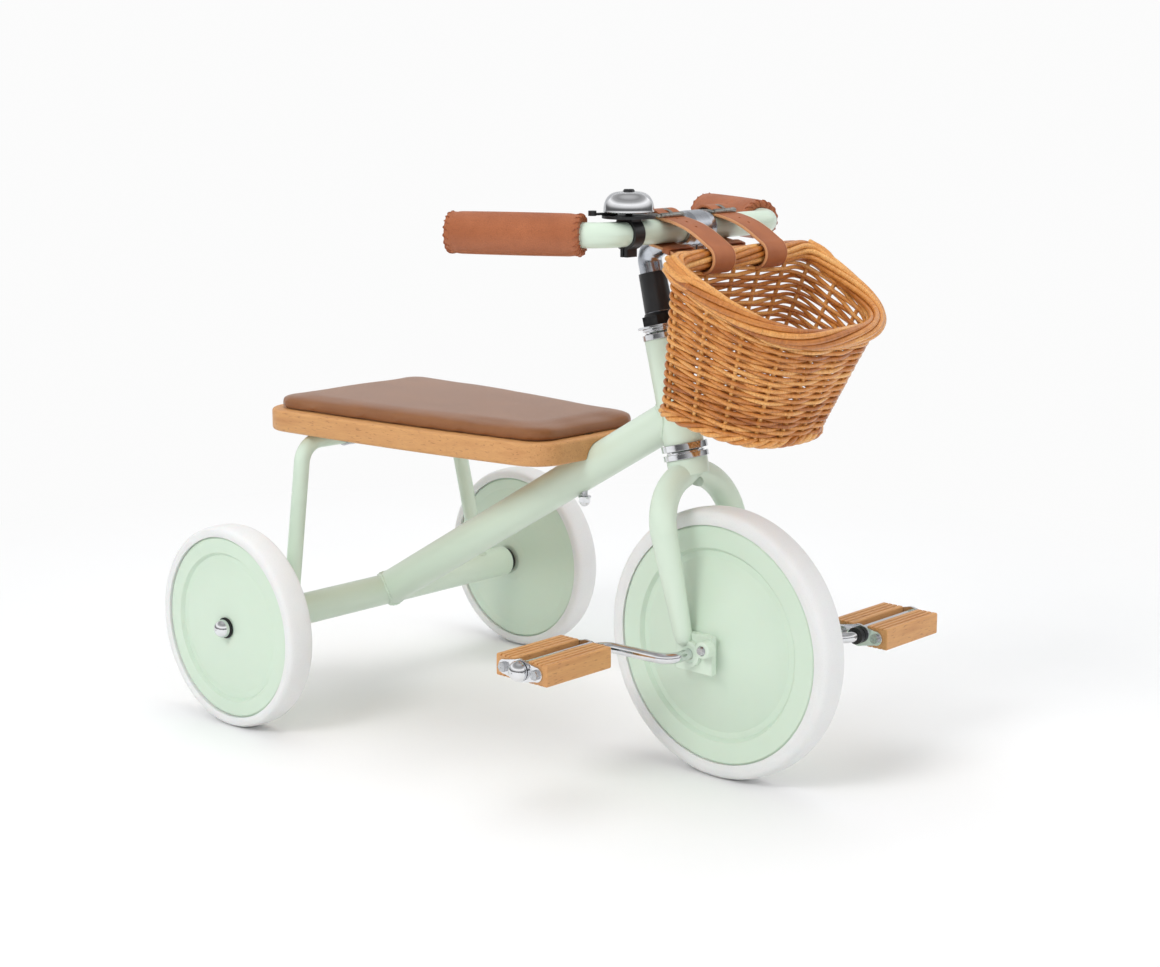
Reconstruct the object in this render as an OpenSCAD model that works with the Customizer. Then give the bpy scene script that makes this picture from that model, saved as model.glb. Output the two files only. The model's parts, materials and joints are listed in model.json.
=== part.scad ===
// Toddler's pedal tricycle: welded steel frame, direct-drive front wheel, wicker basket.
// X points forward, Y to the rider's left, Z up. The origin is on the floor, in the
// middle of the tricycle's length and width. Millimetres and degrees.

/* [Wheels] */
// Distance from the rear axle to the front wheel's centre
wheelbase = 455; // [430:1:480]
// Distance between the rear wheels' centre planes
track = 410; // [390:1:430]
// Outside diameter of the front tyre (10 inch)
front_wheel_d = 254; // [250:1:258]
// Outside diameter of the rear tyres (8 inch)
rear_wheel_d = 203; // [196:1:208]
// Width of the front tyre
front_tyre_w = 32; // [28:1:36]
// Width of each rear tyre
rear_tyre_w = 30; // [26:1:32]
// Diameter of the front wheel's moulded disc
front_disc_d = 224; // [216:1:228]
// Diameter of each rear wheel's moulded disc
rear_disc_d = 182; // [174:1:186]

/* [Frame] */
// Outside diameter of the main tube
main_tube_d = 36; // [32:1:38]
// Outside diameter of the tube that houses the rear axle
axle_tube_d = 32; // [30:1:34]
// Outside diameter of the head tube
head_tube_d = 37; // [36:1:40]
// Outside diameter of the seat hoop
hoop_d = 16; // [14:1:18]
// Backward lean of the steering axis from the vertical
head_angle = 14.5; // [12:0.5:17]
// Height of the main tube's axis where it meets the steering axis
main_tube_top_z = 333; // [325:1:340]

/* [Seat] */
// Height of the cushion's top above the floor
seat_z = 316; // [314:1:320]
// Thickness of the cushion
cushion_t = 14; // [10:1:18]
// Thickness of the wooden board
board_t = 22; // [18:1:24]
// Length of the board
board_l = 372; // [350:1:380]
// Width of the board at the back
board_rear_w = 226; // [200:1:240]
// Width of the board at the front
board_front_w = 160; // [140:1:180]

/* [Steering and handlebar] */
// Outside diameter of the handlebar tube
bar_d = 22.2; // [22:0.1:22.4]
// Height of the handlebar's axis above the floor
bar_z = 504; // [500:1:510]
// Forward place of the handlebar's axis
bar_x = 411; // [406:1:414]
// Half the length of the straight middle of the bar, to the corner of the bend
bar_half = 116; // [112:1:122]
// Backward sweep of the grips from the bar's middle
sweep = 64; // [58:1:68]
// Outside diameter of the leather grips
grip_d = 38; // [34:1:40]
// Length of each grip
grip_l = 122; // [110:1:130]

/* [Pedals] */
// Radius of the crank
crank_r = 75; // [70:1:80]
// Diameter of the crank rod
crank_d = 10; // [9:0.5:11]
// Length of the wooden pedal blocks
block_l = 84; // [76:1:88]
// Width of each wooden pedal block
block_w = 23; // [20:1:24]
// Height of each wooden pedal block
block_h = 20; // [18:1:22]

/* [Basket] */
// Depth of the basket's back wall, from rim to floor
basket_h = 146; // [136:1:150]
// Nose-down tilt of the basket
basket_tilt = 14; // [10:1:15]
// Half the width of the rim at the back
rim_half_w = 104; // [96:1:108]
// Front to back length of the rim
rim_l = 130; // [120:1:134]
// Half the width of the floor at the back
floor_half_w = 74; // [68:1:80]
// Front to back length of the floor
floor_l = 106; // [96:1:110]

/* [Hidden] */

$fn = 64;
eps = 0.02;
fit = 0.03;
run = 0.06;
lap = 0.5;
thicker = 0.05;
rear_r = rear_wheel_d / 2;
front_r = front_wheel_d / 2;
half_track = track / 2;
// The modules work from the rear axle; mid_x is the middle of the length from there
mid_x = (wheelbase + front_r - rear_r) / 2;

// Steering axis: local height s runs up the axis from the foot of the wheel centre
rake = 4;
steer_o = [wheelbase - rake * cos(head_angle), 0, front_r - rake * sin(head_angle)];
function steer_x(z) = steer_o[0] - (z - steer_o[2]) * tan(head_angle);
crown_s = 172;
head_lo = 187;
head_hi = 285;
steerer_top = 309;
steerer_r = 12.7;
quill_r = 11;

// Rear axle stack, measured outward from the middle
axle_r = 6;
axle_chamfer = 1;
axle_tube_half = 172;
tube_bush_flange = 5;
wheel_inner_h = 25;
wheel_outer_h = 13;
axle_half = half_track + wheel_outer_h + 9;
rear_bush_r = 9;

// Main tube
main_angle = atan2(main_tube_top_z - rear_r, steer_x(main_tube_top_z));
main_len = norm([main_tube_top_z - rear_r, steer_x(main_tube_top_z)]);
tube_wall = 2;

// Seat
board_z = seat_z - cushion_t - board_t;
board_x0 = -72;
cushion_inset = 9;
cushion_gap = 0.2;
hoop_lean = 3;
hoop_foot_y = 136;
hoop_top_y = 106;
hoop_top_z = (board_z - hoop_d / 2 - 0.3 - rear_r) / cos(hoop_lean);
hoop_x = -hoop_top_z * sin(hoop_lean);
clip_y = 46;
bolt_x = 281;
bolt_r = 3;
main_z_at_bolt = rear_r + bolt_x * tan(main_angle);
tube_half_z = main_tube_d / 2 / cos(main_angle);
nut_washer_r = 6.2;

// Front hub and fork ends
hub_half = 40;
dropout_y = 42;
dropout_t = 6;
hub_sleeve_r = 9;
bush_r = 8;
leg_y = 50;
leg_r = 12.5;
arch_s = crown_s - leg_r - leg_y;

// Crank and pedals
crank_rod_r = crank_d / 2;
arm_y = 79;
pedal_y = 98;
plate_t = 2;
plate_mid_r = 10.6;
plate_lobe_r = 6.8;
block_x = 19.5;
pedal_in = pedal_y + 7;
pedal_len = block_l + 2 * plate_t;
spindle_end = pedal_in + pedal_len + 5;

// Handlebar
bar_r = bar_d / 2;
bar_bend = 30;
grip_start = bar_bend * tan(sweep / 2) + 1.5;
grip_dir = [-sin(sweep), cos(sweep)];
clamp_half = 19;
clamp_r = 16.3;
clamp_drop = 21.6;

// Bell
bell_y = -86;
bell_z = bar_z + bar_r + 2.5;
dome_r = 22;
dome_lift = 5.1;
lever_pivot_r = 14.5;
lever_arm = 19;

// Basket
basket_x = 430;
basket_z = 349;
basket_wall = 6;
strap_y = 37;
strap_w = 30;
strap_t = 2.4;
rim_drop = 34;
rim_roll = 8;
function basket_point(x, y, z) = [basket_x + x * cos(basket_tilt) + z * sin(basket_tilt), y,
    basket_z - x * sin(basket_tilt) + z * cos(basket_tilt)];
strap_rim_r = 13;
rim_back = basket_point(basket_wall / 2, 0, basket_h - rim_roll);

mint = [0.80, 0.88, 0.80];
chrome = [0.80, 0.81, 0.83];
black = [0.12, 0.12, 0.13];
beech = [0.80, 0.65, 0.48];
tan_leather = [0.64, 0.38, 0.24];
white_rubber = [0.92, 0.92, 0.92];
wicker = [0.80, 0.53, 0.28];

// ---------- helpers ----------

module steer_frame() {
    translate(steer_o) rotate([0, -head_angle, 0]) children();
}

module along_y() {
    rotate([90, 0, 0]) children();
}

module both_sides() {
    children();
    mirror([0, 1, 0]) children();
}

module ring(ro, ri, h) {
    difference() {
        cylinder(r = ro, h = h);
        translate([0, 0, -1]) cylinder(r = ri, h = h + 2);
    }
}

module rod_between(a, b, r) {
    v = b - a;
    l = norm(v);
    translate(a)
        rotate([0, acos(v[2] / l), atan2(v[1], v[0])])
            cylinder(r = r, h = l);
}

function heading(p, i) = atan2(p[i + 1][1] - p[i][1], p[i + 1][0] - p[i][0]);
function wrap(a) = a > 180 ? a - 360 : a < -180 ? a + 360 : a;
function turn(p, i) = i == 0 || i == len(p) - 1 ? 0 : wrap(heading(p, i) - heading(p, i - 1));
function cut(p, i, bend) = bend * tan(abs(turn(p, i)) / 2);
function unit(a) = [cos(a), sin(a)];

// A round bar through flat points, with true arcs at the corners. Each straight
// runs a little way into its arc, which is a hair thicker, so the pieces fuse cleanly
module bent_rod(p, bend, r) {
    for (i = [0:len(p) - 2]) {
        u = unit(heading(p, i));
        a = p[i] + u * (cut(p, i, bend) - (i > 0 ? lap : 0));
        b = p[i + 1] - u * (cut(p, i + 1, bend) - (i < len(p) - 2 ? lap : 0));
        rod_between([a[0], a[1], 0], [b[0], b[1], 0], r);
    }
    for (i = [1:len(p) - 2]) {
        t = turn(p, i);
        h = heading(p, i - 1);
        side = t > 0 ? 90 : -90;
        c = p[i] - unit(h) * cut(p, i, bend) + unit(h + side) * bend;
        start = t > 0 ? h - 90 : h + 90 + t;
        translate([c[0], c[1], 0])
            rotate([0, 0, start])
                rotate_extrude(angle = abs(t)) translate([bend, 0]) circle(r = r + thicker);
    }
}

module dome_nut(r, h) {
    intersection() {
        translate([0, 0, h - r * 1.04]) sphere(r = r * 1.04);
        cylinder(r = r, h = h + 1);
    }
}

// Wheel stations: axis along +Y outward from the trike's middle
module right_station() {
    translate([0, -half_track, rear_r]) rotate([90, 0, 0]) children();
}

module left_station() {
    translate([0, half_track, rear_r]) rotate([-90, 0, 0]) children();
}

module front_station() {
    translate([wheelbase, 0, front_r]) children();
}

// ---------- frame ----------

hoop_path = [[-hoop_foot_y, 0], [-hoop_top_y, hoop_top_z], [hoop_top_y, hoop_top_z], [hoop_foot_y, 0]];

module hoop_bar(r) {
    translate([0, 0, rear_r])
        rotate([0, -hoop_lean, 0])
            rotate([90, 0, 90])
                bent_rod(hoop_path, 24, r);
}

module main_bar(r, from, to) {
    translate([0, 0, rear_r])
        rotate([0, 90 - main_angle, 0])
            translate([0, 0, from]) cylinder(r = r, h = to - from);
}

module frame() {
    color(mint)
    difference() {
        union() {
            translate([0, axle_tube_half, rear_r]) along_y()
                cylinder(r = axle_tube_d / 2, h = 2 * axle_tube_half);
            main_bar(main_tube_d / 2, 0, main_len);
            steer_frame() translate([0, 0, head_lo])
                cylinder(r = head_tube_d / 2, h = head_hi - head_lo);
            hoop_bar(hoop_d / 2);
        }
        translate([0, axle_tube_half + 1, rear_r]) along_y()
            cylinder(r = axle_tube_d / 2 - 3, h = 2 * axle_tube_half + 2);
        main_bar(main_tube_d / 2 - tube_wall, 0, main_len - head_tube_d / 2 - 6);
        steer_frame() translate([0, 0, head_lo - 1]) cylinder(r = 15.1, h = head_hi - head_lo + 2);
        hoop_bar(hoop_d / 2 - 1.5);
        translate([bolt_x, 0, board_z - 60]) cylinder(r = bolt_r + 0.2, h = 80);
    }
}

module axle_tube_bushes() {
    color(black)
    both_sides()
        translate([0, -axle_tube_half, rear_r]) rotate([90, 0, 0])
            difference() {
                union() {
                    translate([0, 0, -14]) cylinder(r = axle_tube_d / 2 - 3 - fit, h = 14 + eps);
                    translate([0, 0, fit]) cylinder(r = axle_tube_d / 2 - 2, h = tube_bush_flange);
                }
                translate([0, 0, -20]) cylinder(r = axle_r + fit, h = 40);
            }
}

module rear_axle() {
    color(chrome)
    translate([0, axle_half, rear_r]) along_y()
        union() {
            cylinder(r1 = axle_r - axle_chamfer, r2 = axle_r, h = axle_chamfer);
            translate([0, 0, axle_chamfer]) cylinder(r = axle_r, h = 2 * (axle_half - axle_chamfer));
            translate([0, 0, 2 * axle_half - axle_chamfer])
                cylinder(r1 = axle_r, r2 = axle_r - axle_chamfer, h = axle_chamfer);
        }
}

module axle_washers() {
    color(black)
    both_sides() right_station() {
        translate([0, 0, wheel_outer_h + 0.3]) ring(10.5, axle_r + fit, 1.6);
        translate([0, 0, -wheel_inner_h - 2]) ring(11.5, axle_r + fit, 1.6);
    }
}

module axle_caps() {
    color(chrome)
    both_sides() right_station() translate([0, 0, wheel_outer_h + 2.1])
        difference() {
            dome_nut(9, 11);
            translate([0, 0, -1]) cylinder(r = axle_r + fit, h = 8.2);
        }
}

// ---------- headset ----------

module lower_headset_cup() {
    color(chrome)
    steer_frame() difference() {
        union() {
            translate([0, 0, head_lo - 6]) cylinder(r = 21.5, h = 6 - fit);
            translate([0, 0, head_lo - 1]) cylinder(r = 15.1 - fit, h = 9);
        }
        translate([0, 0, head_lo - 7]) cylinder(r = 18.2, h = 5);
        translate([0, 0, head_lo - 8]) cylinder(r = 13.4, h = 20);
    }
}

module upper_headset_cup() {
    color(chrome)
    steer_frame() difference() {
        union() {
            translate([0, 0, head_hi + fit]) cylinder(r = 19.6, h = 5);
            translate([0, 0, head_hi - 8]) cylinder(r = 15.1 - fit, h = 9);
        }
        translate([0, 0, head_hi + 2]) cylinder(r = 17.4, h = 5);
        translate([0, 0, head_hi - 9]) cylinder(r = 13.4, h = 20);
    }
}

// Caged balls: the cage is a thin ring through the balls' centres
module ball_ring(s, r, ball_r) {
    steer_frame() translate([0, 0, s]) {
        translate([0, 0, -0.6]) ring(r + 1, r - 1, 1.2);
        for (a = [0:24:359]) rotate([0, 0, a]) translate([r, 0, 0]) sphere(r = ball_r, $fn = 24);
    }
}

module lower_bearing() {
    color(chrome) ball_ring(head_lo - 4.6, 15.8, 2.3);
}

module upper_bearing() {
    color(chrome) ball_ring(head_hi + 4.5, 15.3, 2);
}

module crown_race() {
    color(chrome)
    steer_frame() difference() {
        union() {
            translate([0, 0, crown_s + 1]) cylinder(r = 21, h = 5);
            translate([0, 0, crown_s + 1]) cylinder(r = 17.6, h = 6.6);
        }
        translate([0, 0, crown_s - 1]) cylinder(r = steerer_r + fit, h = 20);
    }
}

module adjusting_cone() {
    color(chrome)
    steer_frame() difference() {
        union() {
            translate([0, 0, head_hi + 7]) cylinder(r = 17, h = 1.4);
            translate([0, 0, head_hi + 8.3]) cylinder(r = 18.4, h = 2.2);
        }
        translate([0, 0, head_hi]) cylinder(r = steerer_r + fit, h = 20);
    }
}

module keyed_washer() {
    color(chrome)
    steer_frame() translate([0, 0, head_hi + 10.6]) ring(22.5, steerer_r + fit, 2);
}

module locknut() {
    color(black)
    steer_frame() difference() {
        union() {
            translate([0, 0, head_hi + 12.7]) cylinder(r = 17.5, h = 9, $fn = 6);
            translate([0, 0, head_hi + 21.6]) cylinder(r1 = 15, r2 = 13.6, h = 3);
        }
        translate([0, 0, head_hi]) cylinder(r = steerer_r + fit, h = 40);
    }
}

// ---------- fork ----------

module fork_end() {
    // Dropout plate with the crank's round boss, square to the floor
    translate([rake, -dropout_y, 0]) rotate([0, head_angle, 0]) rotate([90, 0, 0])
        difference() {
            union() {
                translate([-18, -17, 0]) cube([42, 36, dropout_t]);
                cylinder(r = 12, h = dropout_t + 4);
            }
            translate([0, 0, -1]) cylinder(r = bush_r + fit, h = 30);
        }
}

module fork() {
    color(mint)
    steer_frame() difference() {
        union() {
            translate([0, 0, arch_s + leg_y - 4])
                cylinder(r = steerer_r, h = steerer_top - arch_s - leg_y + 4);
            translate([0, 0, arch_s + leg_y - 2]) cylinder(r = 19, h = crown_s - arch_s - leg_y + 2.8);
            translate([0, 0, arch_s]) rotate([90, 0, 90])
                rotate_extrude(angle = 180) translate([leg_y, 0]) circle(r = leg_r);
            both_sides() {
                translate([0, -leg_y, 16]) cylinder(r1 = 8.5, r2 = leg_r - 0.1, h = arch_s - 16 + lap);
                translate([0, -leg_y, 16]) sphere(r = 8.3);
                fork_end();
            }
        }
        translate([0, 0, arch_s + leg_y - 20]) cylinder(r = quill_r + 0.1, h = 200);
        both_sides() translate([rake, 0, 0]) rotate([90, 0, 0])
            cylinder(r = bush_r + fit, h = dropout_y + 30);
    }
}

module dropout_bushes() {
    color(black)
    front_station() both_sides()
        translate([0, -dropout_y + 0.5, 0]) rotate([90, 0, 0])
            difference() {
                cylinder(r = bush_r, h = dropout_t + 4.5);
                translate([0, 0, -1]) cylinder(r = crank_rod_r + run, h = 20);
            }
}

cap_x = 24;
cap_z = 8;

// Pinch block screwed to each dropout, ahead of and above the crank
module dropout_caps() {
    color(mint)
    front_station() both_sides()
        translate([cap_x - 4, -dropout_y - dropout_t - fit, cap_z]) rotate([90, 0, 0])
            difference() {
                union() {
                    cylinder(r = 8, h = 9);
                    translate([0, 0, 9 - eps]) cylinder(r1 = 8, r2 = 6.5, h = 1.5);
                }
                translate([0, 0, -1]) cylinder(r = 2.6, h = 20);
            }
}

module cap_screws() {
    color(chrome)
    front_station() both_sides()
        translate([cap_x - 4, -dropout_y - dropout_t - 10.6, cap_z]) rotate([90, 0, 0])
            union() {
                translate([0, 0, -10.2]) cylinder(r = 2.5, h = 11);
                cylinder(r1 = 4.6, r2 = 3.4, h = 2.2);
            }
}

// ---------- stem and handlebar ----------

stem_neck = [[0, 345], [0, 366], [52, 377]];
quill_foot = 212;

module clamp_barrel_profile() {
    polygon([[bar_r + fit, -clamp_half], [14.2, -clamp_half], [15.2, -clamp_half + 2],
        [clamp_r, -clamp_half + 9], [clamp_r, clamp_half - 9], [15.2, clamp_half - 2],
        [14.2, clamp_half], [bar_r + fit, clamp_half]]);
}

module stem() {
    color(chrome)
    difference() {
        union() {
            steer_frame() {
                translate([0, 0, quill_foot]) cylinder(r = quill_r, h = 140);
                rotate([90, 0, 0]) bent_rod(stem_neck, 14, quill_r - 0.01);
            }
            translate([bar_x, 0, bar_z]) rotate([90, 0, 0]) rotate_extrude() clamp_barrel_profile();
            translate([bar_x - 6, -11, bar_z - clamp_drop - 5.4]) cube([12, 22, 14]);
        }
        translate([bar_x, 50, bar_z]) rotate([90, 0, 0]) cylinder(r = bar_r + fit, h = 100);
        steer_frame() translate([0, 0, quill_foot - 1]) cylinder(r = 4.2, h = 200);
        steer_frame() translate([0, 0, quill_foot - 10]) rotate([0, 35, 0]) cube([80, 80, 22], center = true);
        translate([bar_x - 10, -1, bar_z - 31]) cube([20, 2, 20]);
        translate([bar_x, 20, bar_z - clamp_drop]) rotate([90, 0, 0]) cylinder(r = 3.2, h = 40);
    }
}

module stem_sleeve() {
    color(black)
    steer_frame() translate([0, 0, steerer_top + 1.2])
        difference() {
            cylinder(r1 = 13.4, r2 = 12.6, h = 36);
            translate([0, 0, -1]) cylinder(r = quill_r + fit, h = 40);
        }
}

module expander_bolt() {
    color(chrome)
    steer_frame() {
        translate([0, 0, quill_foot - 20]) cylinder(r = 4, h = 194);
        translate([0, 0, quill_foot + 173.9]) difference() {
            cylinder(r = 6.5, h = 6);
            translate([0, 0, 2]) cylinder(r = 3, h = 6, $fn = 6);
        }
    }
}

module expander_wedge() {
    color(chrome)
    steer_frame() difference() {
        translate([0, 0, quill_foot - 22]) cylinder(r = quill_r, h = 24);
        translate([0, 0, quill_foot - 10]) rotate([0, 35, 0])
            translate([0, 0, 40 + 10.6]) cube([90, 90, 80], center = true);
        translate([0, 0, quill_foot - 30]) cylinder(r = 4 + fit, h = 60);
    }
}

module clamp_bolt() {
    color(chrome)
    translate([bar_x, 0, bar_z - clamp_drop]) rotate([90, 0, 0]) {
        translate([0, 0, -14]) cylinder(r = 3, h = 26);
        translate([0, 0, 11.1]) cylinder(r = 5, h = 4);
        translate([0, 0, -16]) cylinder(r = 5.5, h = 4.9, $fn = 6);
    }
}

bar_corner = [0, bar_half];
bar_end = bar_corner + grip_dir * (grip_start + grip_l - 5);
bar_path = [[bar_end[0], -bar_end[1]], [0, -bar_half], bar_corner, bar_end];

module handlebar() {
    color(mint)
    translate([bar_x, 0, bar_z]) difference() {
        bent_rod(bar_path, bar_bend, bar_r);
        bent_rod([[bar_end[0] * 1.01, -bar_end[1] * 1.003], [0, -bar_half], bar_corner,
            [bar_end[0] * 1.01, bar_end[1] * 1.003]], bar_bend, bar_r - 2);
    }
}

module left_grip() {
    color(tan_leather)
    translate([bar_x, 0, bar_z]) translate([bar_corner[0], bar_corner[1], 0])
        rotate([0, 0, 90 + sweep]) rotate([0, 90, 0]) translate([0, 0, grip_start])
            difference() {
                union() {
                    cylinder(r1 = grip_d / 2 - 1.5, r2 = grip_d / 2, h = 1.5);
                    translate([0, 0, 1.5 - eps]) cylinder(r = grip_d / 2, h = grip_l - 4);
                    translate([0, 0, grip_l - 2.5 - eps])
                        cylinder(r1 = grip_d / 2, r2 = grip_d / 2 - 2.5, h = 2.5);
                }
                translate([0, 0, -1]) cylinder(r = bar_r + fit, h = grip_l - 3);
            }
}

module right_grip() {
    mirror([0, 1, 0]) left_grip();
}

// ---------- bell ----------

module bell_frame() {
    translate([bar_x, bell_y, bell_z]) children();
}

lever_dir = 215;
lever_pivot = [lever_pivot_r * cos(lever_dir), lever_pivot_r * sin(lever_dir)];

module bell_base() {
    color(black)
    difference() {
        union() {
            bell_frame() cylinder(r = dome_r + 1.5, h = 2.5);
            bell_frame() cylinder(r = 3, h = dome_lift + 16.4);
            bell_frame() translate([lever_pivot[0], lever_pivot[1], 0]) cylinder(r = 1.8, h = 6);
            bell_frame() translate([-9, -6, -8]) cube([18, 12, 9]);
            translate([bar_x, bell_y + 6.5, bar_z]) rotate([90, 0, 0]) cylinder(r = bar_r + 2.8, h = 13);
            translate([bar_x - 4, bell_y - 6.5, bar_z - bar_r - 9]) cube([8, 13, 9]);
        }
        translate([bar_x, bell_y + 20, bar_z]) rotate([90, 0, 0]) cylinder(r = bar_r + fit, h = 40);
        translate([bar_x - 0.8, bell_y - 10, bar_z - bar_r - 12]) cube([1.6, 20, 16]);
    }
}

module bell_dome() {
    color(chrome)
    bell_frame() translate([0, 0, dome_lift])
        difference() {
            rotate_extrude() polygon(concat(
                [[3.1, 17.8], [3.1, 16.2]],
                [for (a = [90:-9:0])
                    [3.1 + (dome_r - 1.4 - 3.1) * pow(cos(a), 0.75), 1.5 + 14.7 * pow(sin(a), 0.9)]],
                [[dome_r - 1.4, 0], [dome_r, 0]],
                [for (a = [0:9:90])
                    [3.1 + (dome_r - 3.1) * pow(cos(a), 0.75), 1.5 + 16.3 * pow(sin(a), 0.9)]]));
        }
}

module bell_screw() {
    color(black)
    bell_frame() translate([0, 0, dome_lift + 18])
        cylinder(r1 = 5.4, r2 = 4.2, h = 1.8);
}

module bell_lever() {
    color(black)
    bell_frame() translate([lever_pivot[0], lever_pivot[1], 2.7])
        difference() {
            union() {
                cylinder(r = 4.6, h = 2);
                rotate([0, 0, lever_dir + 32]) translate([0, -2.6, 0]) cube([lever_arm, 5.2, 2]);
                rotate([0, 0, lever_dir + 32]) translate([lever_arm, 0, -0.4]) cylinder(r = 3.6, h = 4.4);
            }
            translate([0, 0, -1]) cylinder(r = 1.8 + run, h = 6);
        }
}

module bell_striker() {
    color(chrome)
    bell_frame() translate([0, 0, 7.8])
        difference() {
            union() {
                cylinder(r = 6, h = 2);
                translate([0, -1.5, 0]) cube([12.5, 3, 2]);
                translate([12.5, 0, 0]) cylinder(r = 3, h = 2.6);
            }
            translate([0, 0, -1]) cylinder(r = 3 + run, h = 6);
        }
}

// Return spring round the bell's post, under the striker
module bell_spring() {
    color(chrome)
    bell_frame() translate([0, 0, 5.2])
        rotate_extrude() translate([4.2, 1]) circle(r = 0.6);
}

// ---------- basket ----------

// Flat-backed plan of the basket, bulging to the front
function bulge(w, l) = [for (a = [-90:11.25:90])
    [l * pow(cos(a), 0.62), w * sign(sin(a)) * pow(abs(sin(a)), 0.62)]];

module basket_slab(w, l, z) {
    translate([0, 0, z]) linear_extrude(height = 1) polygon(bulge(w, l));
}

module basket_shape(shrink, z0) {
    grow = (rim_half_w - floor_half_w) / basket_h;
    translate([shrink, 0, 0]) hull() {
        basket_slab(floor_half_w + grow * z0 - shrink, floor_l - 2 * shrink, z0);
        basket_slab(rim_half_w - shrink, rim_l - 2 * shrink, basket_h);
    }
}

module basket() {
    color(wicker)
    difference() {
        translate([basket_x, 0, basket_z]) rotate([0, basket_tilt, 0])
            difference() {
                basket_shape(0, 0);
                basket_shape(basket_wall, basket_wall);
                translate([0, 0, basket_h]) rotate([0, atan(rim_drop / rim_l), 0])
                    translate([-30, -200, 0]) cube([300, 400, 60]);
                for (s = [-1, 1])
                    translate([-5, s * strap_y - strap_w / 2 - 1, basket_h - rim_roll - strap_rim_r - 6])
                        cube([16, strap_w + 2, 10]);
            }
    }
}

// Each strap is a flat loop round the bar and the basket's rim
module strap_loop(r_bar, r_rim, w) {
    translate([0, w / 2, 0]) rotate([90, 0, 0]) linear_extrude(height = w)
        hull() {
            translate([bar_x, bar_z]) circle(r = r_bar, $fn = 32);
            translate([rim_back[0], rim_back[2]]) circle(r = r_rim, $fn = 32);
        }
}

module basket_straps() {
    color(tan_leather)
    for (s = [-1, 1]) translate([0, s * strap_y, 0])
        difference() {
            strap_loop(bar_r + 0.4 + strap_t, strap_rim_r + strap_t, strap_w);
            strap_loop(bar_r + 0.4, strap_rim_r, strap_w + 2);
        }
}

// Square wire buckles lying on the straps, on top of the bar
module strap_buckles() {
    color(chrome)
    for (s = [-1, 1]) translate([bar_x, s * strap_y, bar_z + bar_r + strap_t + 0.7])
        difference() {
            translate([-10, -strap_w / 2 - 3, 0]) cube([20, strap_w + 6, 2.4]);
            for (x = [-7.5, 1]) translate([x, -strap_w / 2 - 0.5, -1]) cube([6.5, strap_w + 1, 6]);
        }
}

// ---------- seat ----------

// Rounded trapezoid with slightly bowed sides, widest at the back
function seat_outline(l, wr, wf) = concat(
    [for (t = [0:0.1:1]) [l * t, -(wr / 2 + (wf - wr) / 2 * t + 6 * sin(180 * t))]],
    [for (t = [1:-0.1:0]) [l * t, (wr / 2 + (wf - wr) / 2 * t + 6 * sin(180 * t))]]);

module seat_plan(inset) {
    translate([board_x0, 0]) offset(delta = -inset) offset(r = 34, $fn = 64) offset(delta = -34)
        polygon(seat_outline(board_l, board_rear_w, board_front_w));
}

module seat_board() {
    color(beech)
    difference() {
        translate([0, 0, board_z]) linear_extrude(height = board_t) seat_plan(0);
        main_bar(main_tube_d / 2 + 0.4, 100, main_len);
        translate([bolt_x, 0, 0]) cylinder(r = bolt_r + 0.2, h = 400);
        translate([bolt_x, 0, board_z + board_t - 4]) cylinder(r = 8.2, h = 10);
        for (s = [-1, 1], t = [-1, 1])
            translate([hoop_x + s * 15, t * clip_y, board_z - 1]) cylinder(r = 2, h = 13);
    }
}

module seat_cushion() {
    color([0.60, 0.42, 0.30])
    translate([0, 0, board_z + board_t + cushion_gap])
        linear_extrude(height = cushion_t - cushion_gap) seat_plan(cushion_inset);
}

module seat_bolt() {
    color(chrome)
    translate([bolt_x, 0, 0]) {
        translate([0, 0, board_z + board_t - 3.9]) cylinder(r = 8, h = 2.8);
        translate([0, 0, main_z_at_bolt - tube_half_z - 10]) cylinder(r = bolt_r,
            h = board_z + board_t - 3.8 - main_z_at_bolt + tube_half_z + 10);
    }
}

module seat_bolt_nut() {
    nut_z = main_z_at_bolt - tube_half_z - nut_washer_r * tan(main_angle) - 0.2;
    color(chrome)
    translate([bolt_x, 0, nut_z]) rotate([180, 0, 0])
        difference() {
            union() {
                cylinder(r = nut_washer_r, h = 1.5);
                translate([0, 0, 1.4]) cylinder(r = 5.8, h = 4.5, $fn = 6);
                translate([0, 0, 5.8]) dome_nut(4.9, 4.4);
            }
            translate([0, 0, -1]) cylinder(r = bolt_r + fit, h = 9);
        }
}

// Saddle clips that hold the board to the hoop's top
module saddle(r, depth, w) {
    translate([0, w / 2, 0]) rotate([90, 0, 0]) cylinder(r = r, h = w);
    translate([-r, -w / 2, 0]) cube([2 * r, w, depth]);
}

module hoop_clips() {
    drop = hoop_d / 2 + 0.15;
    color(chrome)
    for (t = [-1, 1]) translate([hoop_x, t * clip_y, board_z - 0.15])
        difference() {
            union() {
                translate([-22, -7, -2]) cube([44, 14, 2]);
                translate([0, 0, -drop]) saddle(drop + 1.8, drop, 14);
            }
            translate([0, 0, -drop]) saddle(drop, drop + 5, 20);
            for (s = [-1, 1]) translate([s * 15, 0, -10]) cylinder(r = 2.1, h = 20);
        }
}

module clip_screws() {
    color(chrome)
    for (s = [-1, 1], t = [-1, 1])
        translate([hoop_x + s * 15, t * clip_y, board_z - 2.2]) {
            cylinder(r = 1.9, h = 12);
            translate([0, 0, -2]) cylinder(r1 = 2.6, r2 = 3.8, h = 2 + eps);
        }
}

// ---------- wheels ----------

module tyre(r_out, r_in, w, round) {
    rotate_extrude()
        difference() {
            offset(r = round, $fn = 32) translate([r_in + round, -w / 2 + round])
                square([r_out - r_in - 2 * round, w - 2 * round]);
            translate([0, -w]) square([r_in + 2, 2 * w]);
        }
}

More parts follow.
